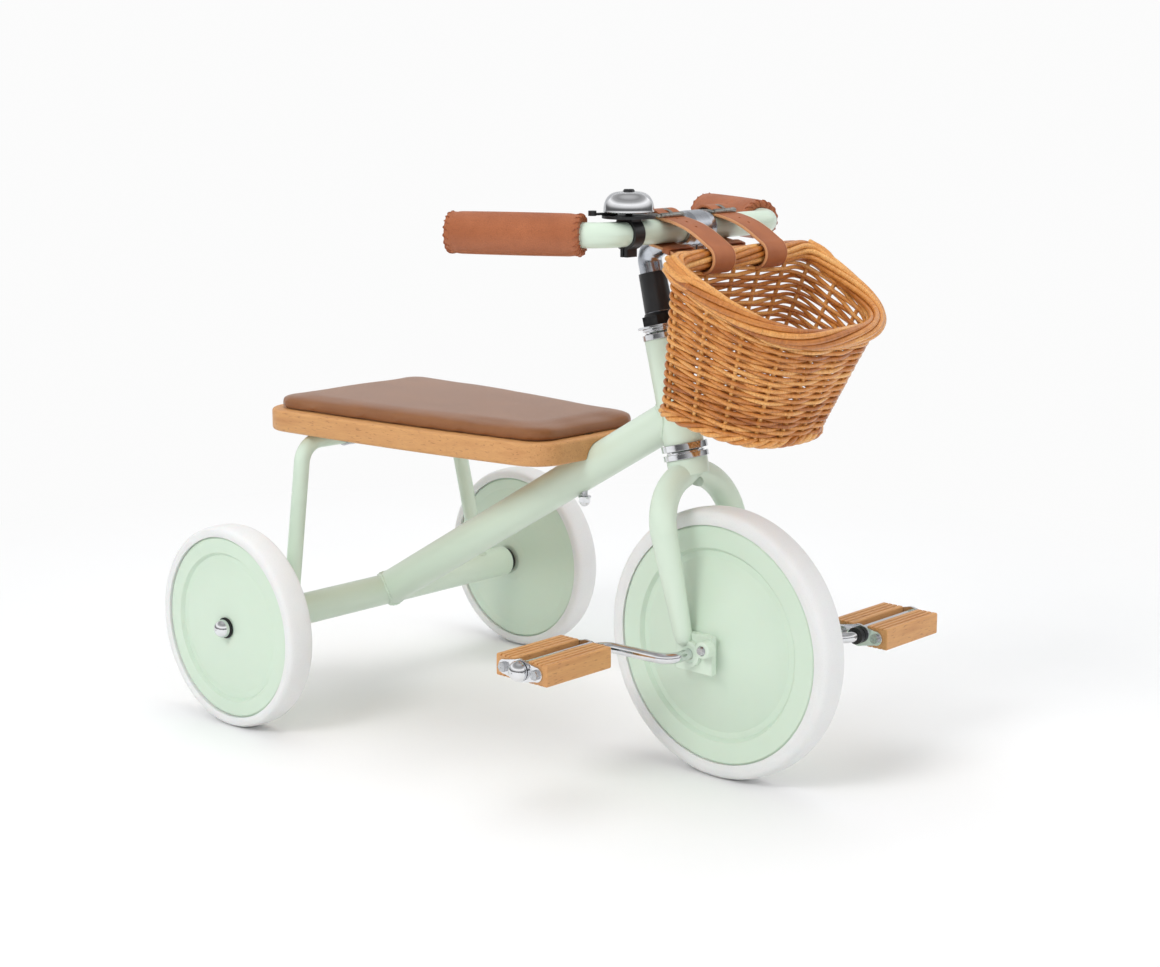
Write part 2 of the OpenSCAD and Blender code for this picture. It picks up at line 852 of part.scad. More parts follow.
// Half of a moulded wheel: a thin shell from the rim to the hub, h outward
module front_half_shell() {
    r = front_disc_d / 2 - fit;
    rotate_extrude(convexity = 6)
        polygon([[r, 0.05], [r, 12], [r - 2, 14], [r - 21, 14], [r - 24, 10.5], [r - 30, 11],
            [24, 36.5], [20, 38.5], [16, hub_half], [hub_sleeve_r + fit, hub_half],
            [hub_sleeve_r + fit, 0.05], [16, 0.05], [16, 33], [22, 33.5], [r - 30, 8], [r - 26, 7.8],
            [r - 22, 11.4], [r - 3, 11.4], [r - 3, 0.05]]);
}

module front_wheel_disc() {
    color(mint)
    front_station() both_sides() rotate([90, 0, 0]) front_half_shell();
}

module front_tyre() {
    color(white_rubber)
    front_station() rotate([90, 0, 0]) tyre(front_r, front_disc_d / 2 - 2, front_tyre_w, 7);
}

module hub_sleeve() {
    color(chrome)
    front_station() translate([0, hub_half + 1, 0]) rotate([90, 0, 0])
        ring(hub_sleeve_r, crank_rod_r + fit, 2 * hub_half + 2);
}

arm_path = [[0, 0], [0, -arm_y], [-crank_r, -arm_y - 4], [-crank_r, -spindle_end]];

module crank() {
    color(chrome)
    front_station() for (a = [0, 180]) rotate([0, 0, a]) bent_rod(arm_path, 15, crank_rod_r);
}

// Places a child at a pedal, z outward along the spindle; side 1 is right, -1 left
module at_pedal(side) {
    front_station() translate([-side * crank_r, -side * pedal_in, 0])
        rotate([side * 90, 0, 0]) children();
}

module pedal_caps() {
    color(chrome)
    for (s = [-1, 1]) at_pedal(s) translate([0, 0, pedal_len + 0.6])
        difference() {
            dome_nut(9.5, 10);
            translate([0, 0, -1]) cylinder(r = crank_rod_r + fit, h = 6);
        }
}

module pedal_collars() {
    color(black)
    for (s = [-1, 1]) at_pedal(s) translate([0, 0, -5.3]) ring(8, crank_rod_r + fit, 4.8);
}

module pedal_block(x) {
    difference() {
        translate([x - block_w / 2, -block_h / 2, plate_t + eps]) cube([block_w, block_h, block_l - 2 * eps]);
        for (g = [-4, 4], s = [-1, 1])
            translate([x + g - 1, s * block_h / 2 - 1.2, 0]) cube([2, 2.4, pedal_len]);
        translate([x, 0, 0]) cylinder(r = 2.6, h = pedal_len);
    }
}

module pedal_blocks() {
    color(beech) pedal_block(-block_x);
    color(beech) pedal_block(block_x);
}

// End plate of a pedal: a wide middle that narrows to a round lobe at each bolt
module plate_outline() {
    circle(r = plate_mid_r);
    for (s = [-1, 1]) translate([s * block_x, 0]) circle(r = plate_lobe_r);
    polygon([[-block_x, plate_lobe_r - 0.2], [0, plate_mid_r - 0.1], [block_x, plate_lobe_r - 0.2],
        [block_x, 0.2 - plate_lobe_r], [0, 0.1 - plate_mid_r], [-block_x, 0.2 - plate_lobe_r]]);
}

module pedal_plates() {
    color(chrome)
    for (z = [0, pedal_len - plate_t]) translate([0, 0, z])
        difference() {
            linear_extrude(height = plate_t) plate_outline();
            translate([0, 0, -1]) cylinder(r = crank_rod_r + run, h = 5);
            for (s = [-1, 1]) translate([s * block_x, 0, -1]) cylinder(r = 2.6, h = 5);
        }
}

module pedal_sleeve() {
    color(chrome)
    translate([0, 0, plate_t + eps]) ring(7.4, crank_rod_r + run, block_l - 2 * eps);
}

module pedal_bolts() {
    color(chrome)
    for (s = [-1, 1]) translate([s * block_x, 0, 0]) {
        translate([0, 0, -3]) cylinder(r = 2.5, h = pedal_len + 5);
        translate([0, 0, -3.2]) cylinder(r = 4.4, h = 3.2 - eps);
        translate([0, 0, pedal_len + eps]) cylinder(r = 4.6, h = 3.4, $fn = 6);
    }
}

module right_pedal_blocks() at_pedal(1) pedal_blocks();
module right_pedal_plates() at_pedal(1) pedal_plates();
module right_pedal_sleeve() at_pedal(1) pedal_sleeve();
module right_pedal_bolts() at_pedal(1) pedal_bolts();
module left_pedal_blocks() at_pedal(-1) pedal_blocks();
module left_pedal_plates() at_pedal(-1) pedal_plates();
module left_pedal_sleeve() at_pedal(-1) pedal_sleeve();
module left_pedal_bolts() at_pedal(-1) pedal_bolts();

// Rear wheel halves: a shallow dome outside, a deeper cone inside
module rear_disc() {
    r = rear_disc_d / 2 - fit;
    color(mint) rotate_extrude(convexity = 6)
        polygon([[r, 0.05], [r, 10], [r - 2, 12], [r - 16, 12], [r - 18.5, 8.5], [r - 24, 8.2],
            [40, 10.6], [20, 12], [rear_bush_r + fit, 12.4], [rear_bush_r + fit, 0.05], [14, 0.05],
            [14, 9.6], [40, 8], [r - 24, 5.8], [r - 20, 5.8], [r - 17, 9.4], [r - 3, 9.4], [r - 3, 0.05]]);
    color(mint) mirror([0, 0, 1]) rotate_extrude(convexity = 6)
        polygon([[r, 0.05], [r, 10], [r - 2, 12], [r - 12, 12], [24, 21.5], [16, wheel_inner_h - 1],
            [rear_bush_r + fit, wheel_inner_h - 1], [rear_bush_r + fit, 0.05], [14, 0.05], [14, 18],
            [24, 18.6], [r - 12, 9.4], [r - 3, 9.4], [r - 3, 0.05]]);
}

module rear_tyre() {
    color(white_rubber) tyre(rear_r, rear_disc_d / 2 - 2, rear_tyre_w, 6);
}

module rear_bush() {
    color(black) translate([0, 0, -wheel_inner_h])
        ring(rear_bush_r, axle_r + run, wheel_inner_h + wheel_outer_h);
}

module right_wheel_disc() right_station() rear_disc();
module right_wheel_tyre() right_station() rear_tyre();
module right_wheel_bush() right_station() rear_bush();
module left_wheel_disc() left_station() rear_disc();
module left_wheel_tyre() left_station() rear_tyre();
module left_wheel_bush() left_station() rear_bush();

module centred() {
    translate([-mid_x, 0, 0]) children();
}

centred() frame();
centred() axle_tube_bushes();
centred() rear_axle();
centred() axle_washers();
centred() axle_caps();
centred() lower_headset_cup();
centred() upper_headset_cup();
centred() lower_bearing();
centred() upper_bearing();
centred() seat_board();
centred() seat_cushion();
centred() seat_bolt();
centred() seat_bolt_nut();
centred() hoop_clips();
centred() clip_screws();
centred() fork();
centred() crown_race();
centred() adjusting_cone();
centred() keyed_washer();
centred() locknut();
centred() dropout_bushes();
centred() dropout_caps();
centred() cap_screws();
centred() stem();
centred() stem_sleeve();
centred() expander_bolt();
centred() expander_wedge();
centred() clamp_bolt();
centred() handlebar();
centred() right_grip();
centred() left_grip();
centred() bell_base();
centred() bell_dome();
centred() bell_screw();
centred() bell_lever();
centred() bell_striker();
centred() bell_spring();
centred() basket();
centred() basket_straps();
centred() strap_buckles();
centred() front_wheel_disc();
centred() front_tyre();
centred() hub_sleeve();
centred() crank();
centred() pedal_caps();
centred() pedal_collars();
centred() right_pedal_blocks();
centred() right_pedal_plates();
centred() right_pedal_sleeve();
centred() right_pedal_bolts();
centred() left_pedal_blocks();
centred() left_pedal_plates();
centred() left_pedal_sleeve();
centred() left_pedal_bolts();
centred() right_wheel_disc();
centred() right_wheel_tyre();
centred() right_wheel_bush();
centred() left_wheel_disc();
centred() left_wheel_tyre();
centred() left_wheel_bush();
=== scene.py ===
"""Toddler's pedal tricycle: the looks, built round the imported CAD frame. Metres, +X forward, +Z up."""

import json
import math

import bmesh
import bpy
import numpy as np
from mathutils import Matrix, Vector
from mathutils.geometry import convex_hull_2d


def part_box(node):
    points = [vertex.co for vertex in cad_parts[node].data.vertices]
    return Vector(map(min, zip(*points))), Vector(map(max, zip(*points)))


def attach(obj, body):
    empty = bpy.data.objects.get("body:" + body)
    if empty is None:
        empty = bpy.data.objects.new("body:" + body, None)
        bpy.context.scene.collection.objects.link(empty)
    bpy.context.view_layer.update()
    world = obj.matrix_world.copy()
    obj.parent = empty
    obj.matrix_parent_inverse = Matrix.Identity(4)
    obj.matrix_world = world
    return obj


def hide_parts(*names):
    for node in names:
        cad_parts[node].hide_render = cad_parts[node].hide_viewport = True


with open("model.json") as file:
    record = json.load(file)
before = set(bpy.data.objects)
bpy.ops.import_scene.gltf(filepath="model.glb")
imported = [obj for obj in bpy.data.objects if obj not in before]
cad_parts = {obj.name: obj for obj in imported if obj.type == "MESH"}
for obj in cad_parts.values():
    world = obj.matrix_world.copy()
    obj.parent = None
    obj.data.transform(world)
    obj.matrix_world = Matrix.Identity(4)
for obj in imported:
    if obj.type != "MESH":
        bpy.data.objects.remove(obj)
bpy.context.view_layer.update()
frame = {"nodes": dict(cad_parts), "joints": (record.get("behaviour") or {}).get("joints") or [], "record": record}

JOINTS = {joint["name"]: joint for joint in frame["joints"]}
SLOT_OF = {row["node"]: row["material_slot"] for row in frame["record"]["subparts"]}
MM = 0.001
UP = np.array([0.0, 0.0, 1.0])
LEFT = np.array([0.0, 1.0, 0.0])
FORWARD = np.array([1.0, 0.0, 0.0])
noise_bank = np.random.default_rng(7)


# ---------- places taken from the frame ----------

def corner(node, which):
    """The lowest (0) or highest (1) corner of a CAD node, as an array."""
    return np.array(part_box(node)[which])


def middle(node):
    """The centre of a CAD node's box."""
    return (corner(node, 0) + corner(node, 1)) / 2


def extent(node):
    """The size of a CAD node's box along each axis."""
    return corner(node, 1) - corner(node, 0)


FRONT_HUB = np.array(JOINTS["front_wheel_spin"]["pos_m"])
RIGHT_HUB = np.array(JOINTS["right_rear_spin"]["pos_m"])
LEFT_HUB = np.array(JOINTS["left_rear_spin"]["pos_m"])
STEER_FOOT = np.array(JOINTS["steering_turn"]["pos_m"])
STEER_AXIS = np.array(JOINTS["steering_turn"]["axis"])
BELL_AXIS = np.array(JOINTS["bell_striker_spin"]["pos_m"])

MAIN_TUBE_RADIUS = 18 * MM
MAIN_TUBE_TOP = 333 * MM
AXLE_TUBE_RADIUS = 16 * MM
HEAD_TUBE_RADIUS = 18.5 * MM
HOOP_RADIUS = 8 * MM
HOOP_FOOT = 136 * MM
HOOP_SHOULDER = 106 * MM
HOOP_LEAN = math.radians(3)
AXLE = np.array([RIGHT_HUB[0], 0.0, RIGHT_HUB[2]])
MAIN_HEAD = STEER_FOOT + STEER_AXIS * (MAIN_TUBE_TOP - STEER_FOOT[2]) / STEER_AXIS[2]

BAR_RADIUS = 11.1 * MM
BAR = np.array([corner("handlebar", 1)[0] - BAR_RADIUS, 0.0, middle("handlebar")[2]])
BAR_HALF = 116 * MM
GRIP_SWEEP = math.radians(64)
GRIP_START = 30 * MM * math.tan(GRIP_SWEEP / 2) + 1.5 * MM
GRIP_LENGTH = 122 * MM
GRIP_RADIUS = 19 * MM

TILT = math.radians(14)
BASKET_HEIGHT = 146 * MM
RIM_DROP = 34 * MM
RIM_HALF_WIDTH = 104 * MM
RIM_LENGTH = 130 * MM
FLOOR_HALF_WIDTH = 74 * MM
FLOOR_LENGTH = 106 * MM
WALL = 6 * MM
BASKET_ORIGIN = np.array([corner("basket", 0)[0], 0.0,
                          corner("basket", 0)[2] + FLOOR_LENGTH * math.sin(TILT)])
BASKET_FORWARD = np.array([math.cos(TILT), 0.0, -math.sin(TILT)])
BASKET_UP = np.array([math.sin(TILT), 0.0, math.cos(TILT)])


def in_basket(x, y, z):
    """Basket coordinates (forward, left, up from the back of its floor) to the row frame."""
    x, y, z = np.broadcast_arrays(np.asarray(x, float), y, z)
    return (BASKET_ORIGIN + x[..., None] * BASKET_FORWARD + y[..., None] * LEFT
            + z[..., None] * BASKET_UP)


# ---------- mesh building ----------

def unit(v):
    """v with length one, for one vector or a row of them."""
    v = np.asarray(v, float)
    return v / np.linalg.norm(v, axis=-1, keepdims=True)


def loop_heading(points):
    """The direction of travel at each point of a closed loop."""
    return unit(np.roll(points, -1, 0) - np.roll(points, 1, 0))


def full_turn(count):
    """Angles evenly round a circle."""
    return np.arange(count) * 2 * math.pi / count


def circle(radius, sides):
    """A round outline in two coordinates."""
    turn = full_turn(sides)
    return np.stack([np.cos(turn), np.sin(turn)], 1) * radius


def rounded_bar(width, height, radius, steps=3):
    """A rectangle outline with rounded corners, in two coordinates."""
    points = []
    for quarter in range(4):
        side_x = 1 if quarter in (0, 3) else -1
        side_y = 1 if quarter in (0, 1) else -1
        for step in range(steps + 1):
            angle = math.pi / 2 * (quarter + step / steps)
            points.append([side_x * (width / 2 - radius) + radius * math.cos(angle),
                           side_y * (height / 2 - radius) + radius * math.sin(angle)])
    return np.array(points)


def ring_faces(rings, sides, closed):
    """Quads between neighbouring rings of points. An open row of rings gets a cap at each end."""
    faces = []
    for ring in range(rings if closed else rings - 1):
        here, there = ring * sides, (ring + 1) % rings * sides
        for k in range(sides):
            after = (k + 1) % sides
            faces.append((here + k, here + after, there + after, there + k))
    if not closed:
        faces.append(tuple(range(sides)))
        faces.append(tuple((rings - 1) * sides + k for k in range(sides)))
    return faces


def sweep(path, outline, across, closed=False, scale=None):
    """Carries a flat outline along a path. The outline's first coordinate keeps to the direction across."""
    path = np.asarray(path, float)
    ahead = loop_heading(path) if closed else unit(np.gradient(path, axis=0))
    across = np.broadcast_to(across, path.shape)
    side = unit(across - ahead * np.sum(across * ahead, 1)[:, None])
    lift = np.cross(ahead, side)
    size = np.ones(len(path)) if scale is None else np.asarray(scale, float)
    flat = outline[None] * size[:, None, None]
    verts = path[:, None] + side[:, None] * flat[..., :1] + lift[:, None] * flat[..., 1:]
    return verts.reshape(-1, 3), ring_faces(len(path), len(outline), closed)


def rod(path, radius, sides, across, closed=False):
    """A round rod with slightly rounded ends."""
    scale = np.ones(len(path))
    if not closed:
        path = np.asarray(path, float)
        first = path[0] + unit(path[1] - path[0]) * radius * 0.3
        last = path[-1] + unit(path[-2] - path[-1]) * radius * 0.3
        path = np.concatenate([path[:1], [first], path[1:-1], [last], path[-1:]])
        scale = np.ones(len(path))
        scale[0] = scale[-1] = 0.72
    return sweep(path, circle(radius, sides), across, closed, scale)


def lathe(profile, centre, axis, steps):
    """Turns a closed outline of (radius, place along the axis) round an axis."""
    axis = unit(axis)
    first = unit(np.cross(axis, [0.123, 0.456, 0.789]))
    second = np.cross(axis, first)
    profile = np.asarray(profile, float)
    turn = full_turn(steps)
    out = np.cos(turn)[:, None] * first + np.sin(turn)[:, None] * second
    verts = centre + out[:, None] * profile[None, :, :1] + axis * profile[None, :, 1:]
    return verts.reshape(-1, 3), ring_faces(steps, len(profile), True)


def new_mesh(name, shell):
    """A mesh from (points, faces)."""
    verts, faces = shell
    mesh = bpy.data.meshes.new(name)
    mesh.from_pydata(np.asarray(verts).tolist(), [], faces)
    return mesh


def new_object(name, data):
    """An object in the scene's collection."""
    made = bpy.data.objects.new(name, data)
    bpy.context.scene.collection.objects.link(made)
    return made


class Builder:
    """Collects closed shells into one mesh. tint and along are kept per vertex for the materials."""

    def __init__(self):
        self.verts, self.faces, self.tints, self.alongs, self.count = [], [], [], [], 0

    def add(self, shell, tint=0.5, along=0.0):
        verts, faces = shell
        self.verts.append(verts)
        self.faces.extend(tuple(i + self.count for i in face) for face in faces)
        self.tints.append(np.broadcast_to(np.asarray(tint, float), len(verts)))
        self.alongs.append(np.broadcast_to(np.asarray(along, float), len(verts)))
        self.count += len(verts)

    def piece(self, name, body, slot, replaces=(), sharp=40, material=None):
        """Makes the object, closes its normals, and puts it on its body in its slot's finish."""
        mesh = new_mesh(name, (np.concatenate(self.verts), self.faces))
        for label, values in (("tint", self.tints), ("along", self.alongs)):
            layer = mesh.attributes.new(label, "FLOAT", "POINT")
            layer.data.foreach_set("value", np.concatenate(values).astype(np.float32))
        tidy_mesh(mesh, sharp)
        return place(name, mesh, body, slot, replaces, material)


def tidy_mesh(mesh, sharp=40):
    """Welds doubles, drops slivers, turns the faces outward and smooths up to an angle in degrees."""
    work = bmesh.new()
    work.from_mesh(mesh)
    bmesh.ops.remove_doubles(work, verts=work.verts, dist=1e-6)
    bmesh.ops.dissolve_degenerate(work, edges=work.edges, dist=1e-7)
    bmesh.ops.recalc_face_normals(work, faces=work.faces)
    work.to_mesh(mesh)
    work.free()
    mesh.shade_smooth()
    mesh.set_sharp_from_angle(angle=math.radians(sharp))


def place(name, mesh, body, slot, replaces, material=None):
    """Links a mesh as a finished piece."""
    made = new_object(name, mesh)
    mesh.materials.clear()
    mesh.materials.append(material or FINISH[slot])
    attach(made, body)
    if replaces:
        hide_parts(*replaces)
    return made


def cut_away(mesh, cutters):
    """Takes closed shells out of a mesh and returns the new mesh."""
    target = new_object("cut_target", mesh)
    helpers = []
    for number, shell in enumerate(cutters):
        shape = new_mesh(f"cutter_{number}", shell)
        tidy_mesh(shape)
        helper = new_object(f"cutter_{number}", shape)
        helpers.append(helper)
        cut = target.modifiers.new(f"cut_{number}", "BOOLEAN")
        cut.operation = "DIFFERENCE"
        cut.solver = "EXACT"
        cut.object = helper
    graph = bpy.context.evaluated_depsgraph_get()
    result = bpy.data.meshes.new_from_object(target.evaluated_get(graph))
    for helper in helpers + [target]:
        bpy.data.objects.remove(helper)
    return result


# ---------- materials ----------

def tone(red, green, blue):
    """A screen colour, 0 to 255, as linear light."""
    linear = [((c / 255 + 0.055) / 1.055) ** 2.4 if c > 10 else c / 255 / 12.92
              for c in (red, green, blue)]
    return (*linear, 1.0)


class NodeTree:
    """A short way to write shader nodes. Each call returns one output of the node it makes."""

    def __init__(self, tree):
        self.tree = tree

    def plug(self, node, sockets):
        for key, value in sockets.items():
            if isinstance(value, bpy.types.NodeSocket):
                self.tree.links.new(value, node.inputs[key])
            else:
                node.inputs[key].default_value = value

    def node(self, kind, sockets, output=0, **settings):
        made = self.tree.nodes.new("ShaderNode" + kind)
        for key, value in settings.items():
            setattr(made, key, value)
        self.plug(made, sockets)
        return made.outputs[output]

    def ramp(self, factor, *stops):
        """Each stop is (position, colour or grey)."""
        made = self.tree.nodes.new("ShaderNodeValToRGB")
        self.plug(made, {"Fac": factor})
        points = made.color_ramp.elements
        while len(points) < len(stops):
            points.new(0.5)
        for point, (position, colour) in zip(points, stops):
            point.position = position
            point.color = colour if isinstance(colour, tuple) else (colour, colour, colour, 1.0)
        return made.outputs[0]


class Shader(NodeTree):
    """A Principled material's nodes, placed by object position."""

    def __init__(self, name):
        self.material = bpy.data.materials.new(name)
        self.material.use_nodes = True
        super().__init__(self.material.node_tree)
        self.surface = self.tree.nodes["Principled BSDF"]
        self.position = self.node("TexCoord", {}, output="Object")

    def stretched(self, x, y, z):
        """Object position times a scale per axis."""
        return self.node("Mapping", {"Vector": self.position, "Scale": (x, y, z)})

    def noise(self, scale, vector=None, detail=3.0, roughness=0.55):
        return self.node("TexNoise", {"Vector": vector or self.position, "Scale": scale,
                                      "Detail": detail, "Roughness": roughness})

    def cells(self, scale, vector=None, feature="F1"):
        return self.node("TexVoronoi", {"Vector": vector or self.position, "Scale": scale},
                         feature=feature)

    def spread(self, factor, low, high):
        """From low to high over the middle of a noise's range."""
        return self.ramp(factor, (0.3, low), (0.7, high))

    def blend(self, factor, first, second):
        return self.node("MixRGB", {"Fac": factor, "Color1": first, "Color2": second})

    def math(self, operation, first, second):
        return self.node("Math", {0: first, 1: second}, operation=operation)

    def attribute(self, name):
        return self.node("Attribute", {}, output=2, attribute_name=name)

    def bump(self, height, distance, strength, under=None):
        sockets = {"Height": height, "Distance": distance, "Strength": strength}
        if under is not None:
            sockets["Normal"] = under
        return self.node("Bump", sockets)

    def edges(self, radius):
        """Softened edge normals, as on a part that has been plated, painted or moulded."""
        return self.node("Bevel", {"Radius": radius}, samples=4)

    def finish(self, colour, roughness, normal=None, **sockets):
        """Sets the surface's inputs. coat_weight, for one, sets Coat Weight."""
        named = {key.replace("_", " ").title(): value for key, value in sockets.items()}
        named |= {"Base Color": colour, "Roughness": roughness}
        if normal is not None:
            named["Normal"] = normal
        self.plug(self.surface, named)
        return self.material


MINT = tone(208, 223, 206)
MINT_DEEP = tone(203, 219, 201)
WHEEL_MINT = tone(206, 222, 204)
WHEEL_MINT_DEEP = tone(199, 216, 197)


def powder_coat():
    """Gloss powder coat: faint orange peel and a clear top."""
    s = Shader("frame_paint")
    peel = s.noise(650, detail=2.0)
    drift = s.noise(9, detail=2.0)
    colour = s.blend(drift, MINT_DEEP, MINT)
    soft = s.edges(0.9 * MM)
    return s.finish(colour, s.spread(drift, 0.30, 0.38), s.bump(peel, 0.05 * MM, 0.35, soft),
                    coat_weight=0.35, coat_roughness=0.12)


def moulded_plastic():
    """Satin moulded wheel plastic with a fine spark texture."""
    s = Shader("wheel_plastic")
    spark = s.noise(1500, detail=2.0)
    drift = s.noise(14, detail=2.0)
    colour = s.blend(drift, WHEEL_MINT_DEEP, WHEEL_MINT)
    soft = s.edges(0.8 * MM)
    return s.finish(colour, s.spread(spark, 0.36, 0.46), s.bump(spark, 0.04 * MM, 0.4, soft),
                    subsurface_weight=0.06, subsurface_scale=0.004)


def white_rubber():
    """Matt white tyre rubber, with painted shade in its fine pores: a touch greyer where the bump dips."""
    s = Shader("tyre_rubber")
    pores = s.noise(1100, detail=4.0)
    patches = s.noise(22, detail=3.0)
    pale = s.blend(patches, tone(219, 219, 218), tone(228, 228, 227))
    # Painted shade: grey in the pores, the low spots of the bump.
    colour = s.blend(s.ramp(pores, (0.25, 0.55), (0.45, 0.0)), pale, tone(206, 206, 205))
    return s.finish(colour, s.spread(patches, 0.5, 0.62), s.bump(pores, 0.06 * MM, 0.5),
                    subsurface_weight=0.08, subsurface_scale=0.003)


def black_plastic():
    """Satin black moulding."""
    s = Shader("black_plastic")
    grain = s.noise(1300, detail=3.0)
    colour = s.ramp(s.noise(40), (0.35, tone(26, 26, 28)), (0.65, tone(34, 34, 36)))
    return s.finish(colour, s.spread(grain, 0.30, 0.44),
                    s.bump(grain, 0.04 * MM, 0.5, s.edges(0.6 * MM)))


def black_steel():
    """Black oxide on steel: dark, slightly metallic, rubbed paler in spots."""
    s = Shader("black_steel")
    rub = s.noise(160, detail=5.0)
    colour = s.ramp(rub, (0.35, tone(30, 30, 32)), (0.72, tone(58, 57, 57)))
    return s.finish(colour, s.spread(rub, 0.30, 0.42),
                    s.bump(s.noise(900), 0.03 * MM, 0.5, s.edges(0.5 * MM)), metallic=0.75)


def chrome():
    """Bright plate with faint polishing lines and a slightly uneven mirror."""
    s = Shader("chrome")
    lines = s.noise(500, s.stretched(1.0, 0.15, 1.0), detail=4.0)
    haze = s.noise(60, detail=3.0)
    colour = s.spread(haze, tone(214, 215, 218), tone(232, 232, 234))
    return s.finish(colour, s.ramp(haze, (0.35, 0.05), (0.7, 0.12)),
                    s.bump(lines, 0.012 * MM, 0.3, s.edges(0.6 * MM)), metallic=1.0)


def zinc_steel():
    """Zinc-plated fasteners: greyer and more diffuse than chrome."""
    s = Shader("plain_steel")
    spangle = s.cells(420)
    colour = s.ramp(spangle, (0.1, tone(168, 170, 174)), (0.8, tone(196, 197, 199)))
    return s.finish(colour, s.spread(s.noise(300), 0.22, 0.36),
                    s.bump(spangle, 0.02 * MM, 0.4, s.edges(0.4 * MM)), metallic=1.0)


def satin_steel():
    """Nickel-plated wire, softly worn in patches."""
    s = Shader("buckle_steel")
    wear = s.noise(220, detail=4.0)
    colour = s.spread(wear, tone(150, 148, 142), tone(182, 180, 174))
    return s.finish(colour, s.spread(wear, 0.22, 0.38), s.bump(wear, 0.02 * MM, 0.4), metallic=1.0)


def polished_alloy():
    """Polished aluminium with lines turned round the bar."""
    s = Shader("stem_alloy")
    lines = s.noise(240, s.stretched(1.0, 14.0, 1.0), detail=4.0)
    colour = s.spread(lines, tone(176, 180, 188), tone(200, 203, 209))
    return s.finish(colour, s.spread(lines, 0.16, 0.27),
                    s.bump(lines, 0.02 * MM, 0.5, s.edges(1.2 * MM)), metallic=1.0, anisotropic=0.4)


def beech(name, along_x):
    """Oiled beech: soft bands, fine pores and the short dark flecks of its rays."""
    s = Shader(name)
    long_way = (1.0, 9.0, 9.0) if along_x else (9.0, 1.0, 9.0)
    fine_way = (1.0, 26.0, 26.0) if along_x else (26.0, 1.0, 26.0)
    bands = s.noise(9, s.stretched(*long_way), detail=3.0)
    fibre = s.noise(60, s.stretched(*fine_way), detail=4.0, roughness=0.7)
    fleck = s.noise(130, s.stretched(*[v ** 0.55 for v in fine_way]), detail=1.0)
    wood = s.ramp(bands, (0.3, tone(198, 143, 88)), (0.55, tone(208, 155, 98)),
                  (0.75, tone(186, 129, 76)))
    wood = s.blend(s.ramp(fibre, (0.35, 0.45), (0.6, 0.0)), wood, tone(184, 130, 82))
    wood = s.blend(s.ramp(fleck, (0.63, 0.0), (0.72, 0.6)), wood, tone(150, 96, 56))
    return s.finish(wood, s.spread(fibre, 0.42, 0.55), s.bump(fibre, 0.05 * MM, 0.5),
                    coat_weight=0.08, coat_roughness=0.35)


def leather(name, dark, light, grain, crease=0.12, rough=(0.42, 0.56), sheen=0.0):
    """Pebbled leather: small cells with creases between them, mottled colour and painted shade in the creases."""
    s = Shader(name)
    wobble = s.noise(140, detail=2.0)
    shift = s.node("VectorMath", {0: wobble, 3: 0.0012}, operation="SCALE")
    warped = s.node("VectorMath", {0: s.position, 1: shift}, operation="ADD")
    pebble = s.cells(grain, warped, "DISTANCE_TO_EDGE")
    folds = s.noise(grain * 0.35, detail=5.0, roughness=0.65)
    mottle = s.noise(30, detail=5.0)
    colour = s.spread(mottle, dark, light)
    # Painted shade: the colour darkens in the creases between the pebbles, where the bump is lowest.
    crease_shade = s.ramp(pebble, (0.0, 0.55), (0.16, 0.0))
    colour = s.blend(crease_shade, colour, tuple(c * 0.55 for c in dark[:3]) + (1.0,))
    first = s.bump(s.ramp(pebble, (0.0, 0.0), (0.3, 1.0)), crease * MM, 0.6)
    return s.finish(colour, s.spread(folds, *rough), s.bump(folds, 0.1 * MM, 0.4, first),
                    sheen_weight=sheen, sheen_roughness=0.4)


def strap_leather():
    """Smooth strap leather: a creased line near each edge, and pale cut edges."""
    s = Shader("strap_leather")
    edge = s.attribute("tint")
    mottle = s.noise(45, detail=5.0)
    grain = s.cells(1300, None, "DISTANCE_TO_EDGE")
    face = s.spread(mottle, tone(153, 86, 48), tone(170, 101, 61))
    face = s.blend(s.ramp(edge, (0.80, 0.0), (0.83, 0.6), (0.86, 0.0)), face, tone(112, 60, 34))
    colour = s.blend(s.ramp(edge, (0.93, 0.0), (0.96, 1.0)), face, tone(206, 150, 104))
    crease = s.ramp(edge, (0.79, 1.0), (0.83, 0.0), (0.87, 1.0))
    first = s.bump(crease, 0.25 * MM, 0.7)
    return s.finish(colour, s.spread(mottle, 0.42, 0.55), s.bump(grain, 0.05 * MM, 0.5, first))


def willow():
    """Varnished willow: each cane its own shade, streaked along its length, with dark joints."""
    s = Shader("wicker")
    tint = s.attribute("tint")
    along = s.attribute("along")
    lengthwise = s.node("CombineXYZ", {"X": along, "Y": s.math("MULTIPLY", tint, 7.0)})
    patch = s.noise(16, lengthwise, detail=3.0)
    knots = s.cells(26, lengthwise)
    streak = s.noise(700, detail=3.0)
    shade = s.math("ADD", s.math("MULTIPLY", tint, 0.6), s.math("MULTIPLY", patch, 0.5))
    colour = s.ramp(shade, (0.22, tone(148, 79, 24)), (0.42, tone(190, 118, 50)),
                    (0.62, tone(216, 148, 76)), (0.85, tone(234, 180, 108)))
    colour = s.blend(s.ramp(streak, (0.38, 0.35), (0.55, 0.0)), colour, tone(150, 88, 36))
    colour = s.blend(s.ramp(knots, (0.02, 0.8), (0.07, 0.0)), colour, tone(112, 58, 22))
    return s.finish(colour, s.spread(streak, 0.28, 0.42), s.bump(streak, 0.12 * MM, 0.5),
                    coat_weight=0.45, coat_roughness=0.15)


def thread(name, dark, light):
    """Waxed lacing thread."""
    s = Shader(name)
    twist = s.noise(900, detail=2.0)
    return s.finish(s.ramp(twist, (0.35, dark), (0.65, light)), 0.5, s.bump(twist, 0.1 * MM, 0.6))


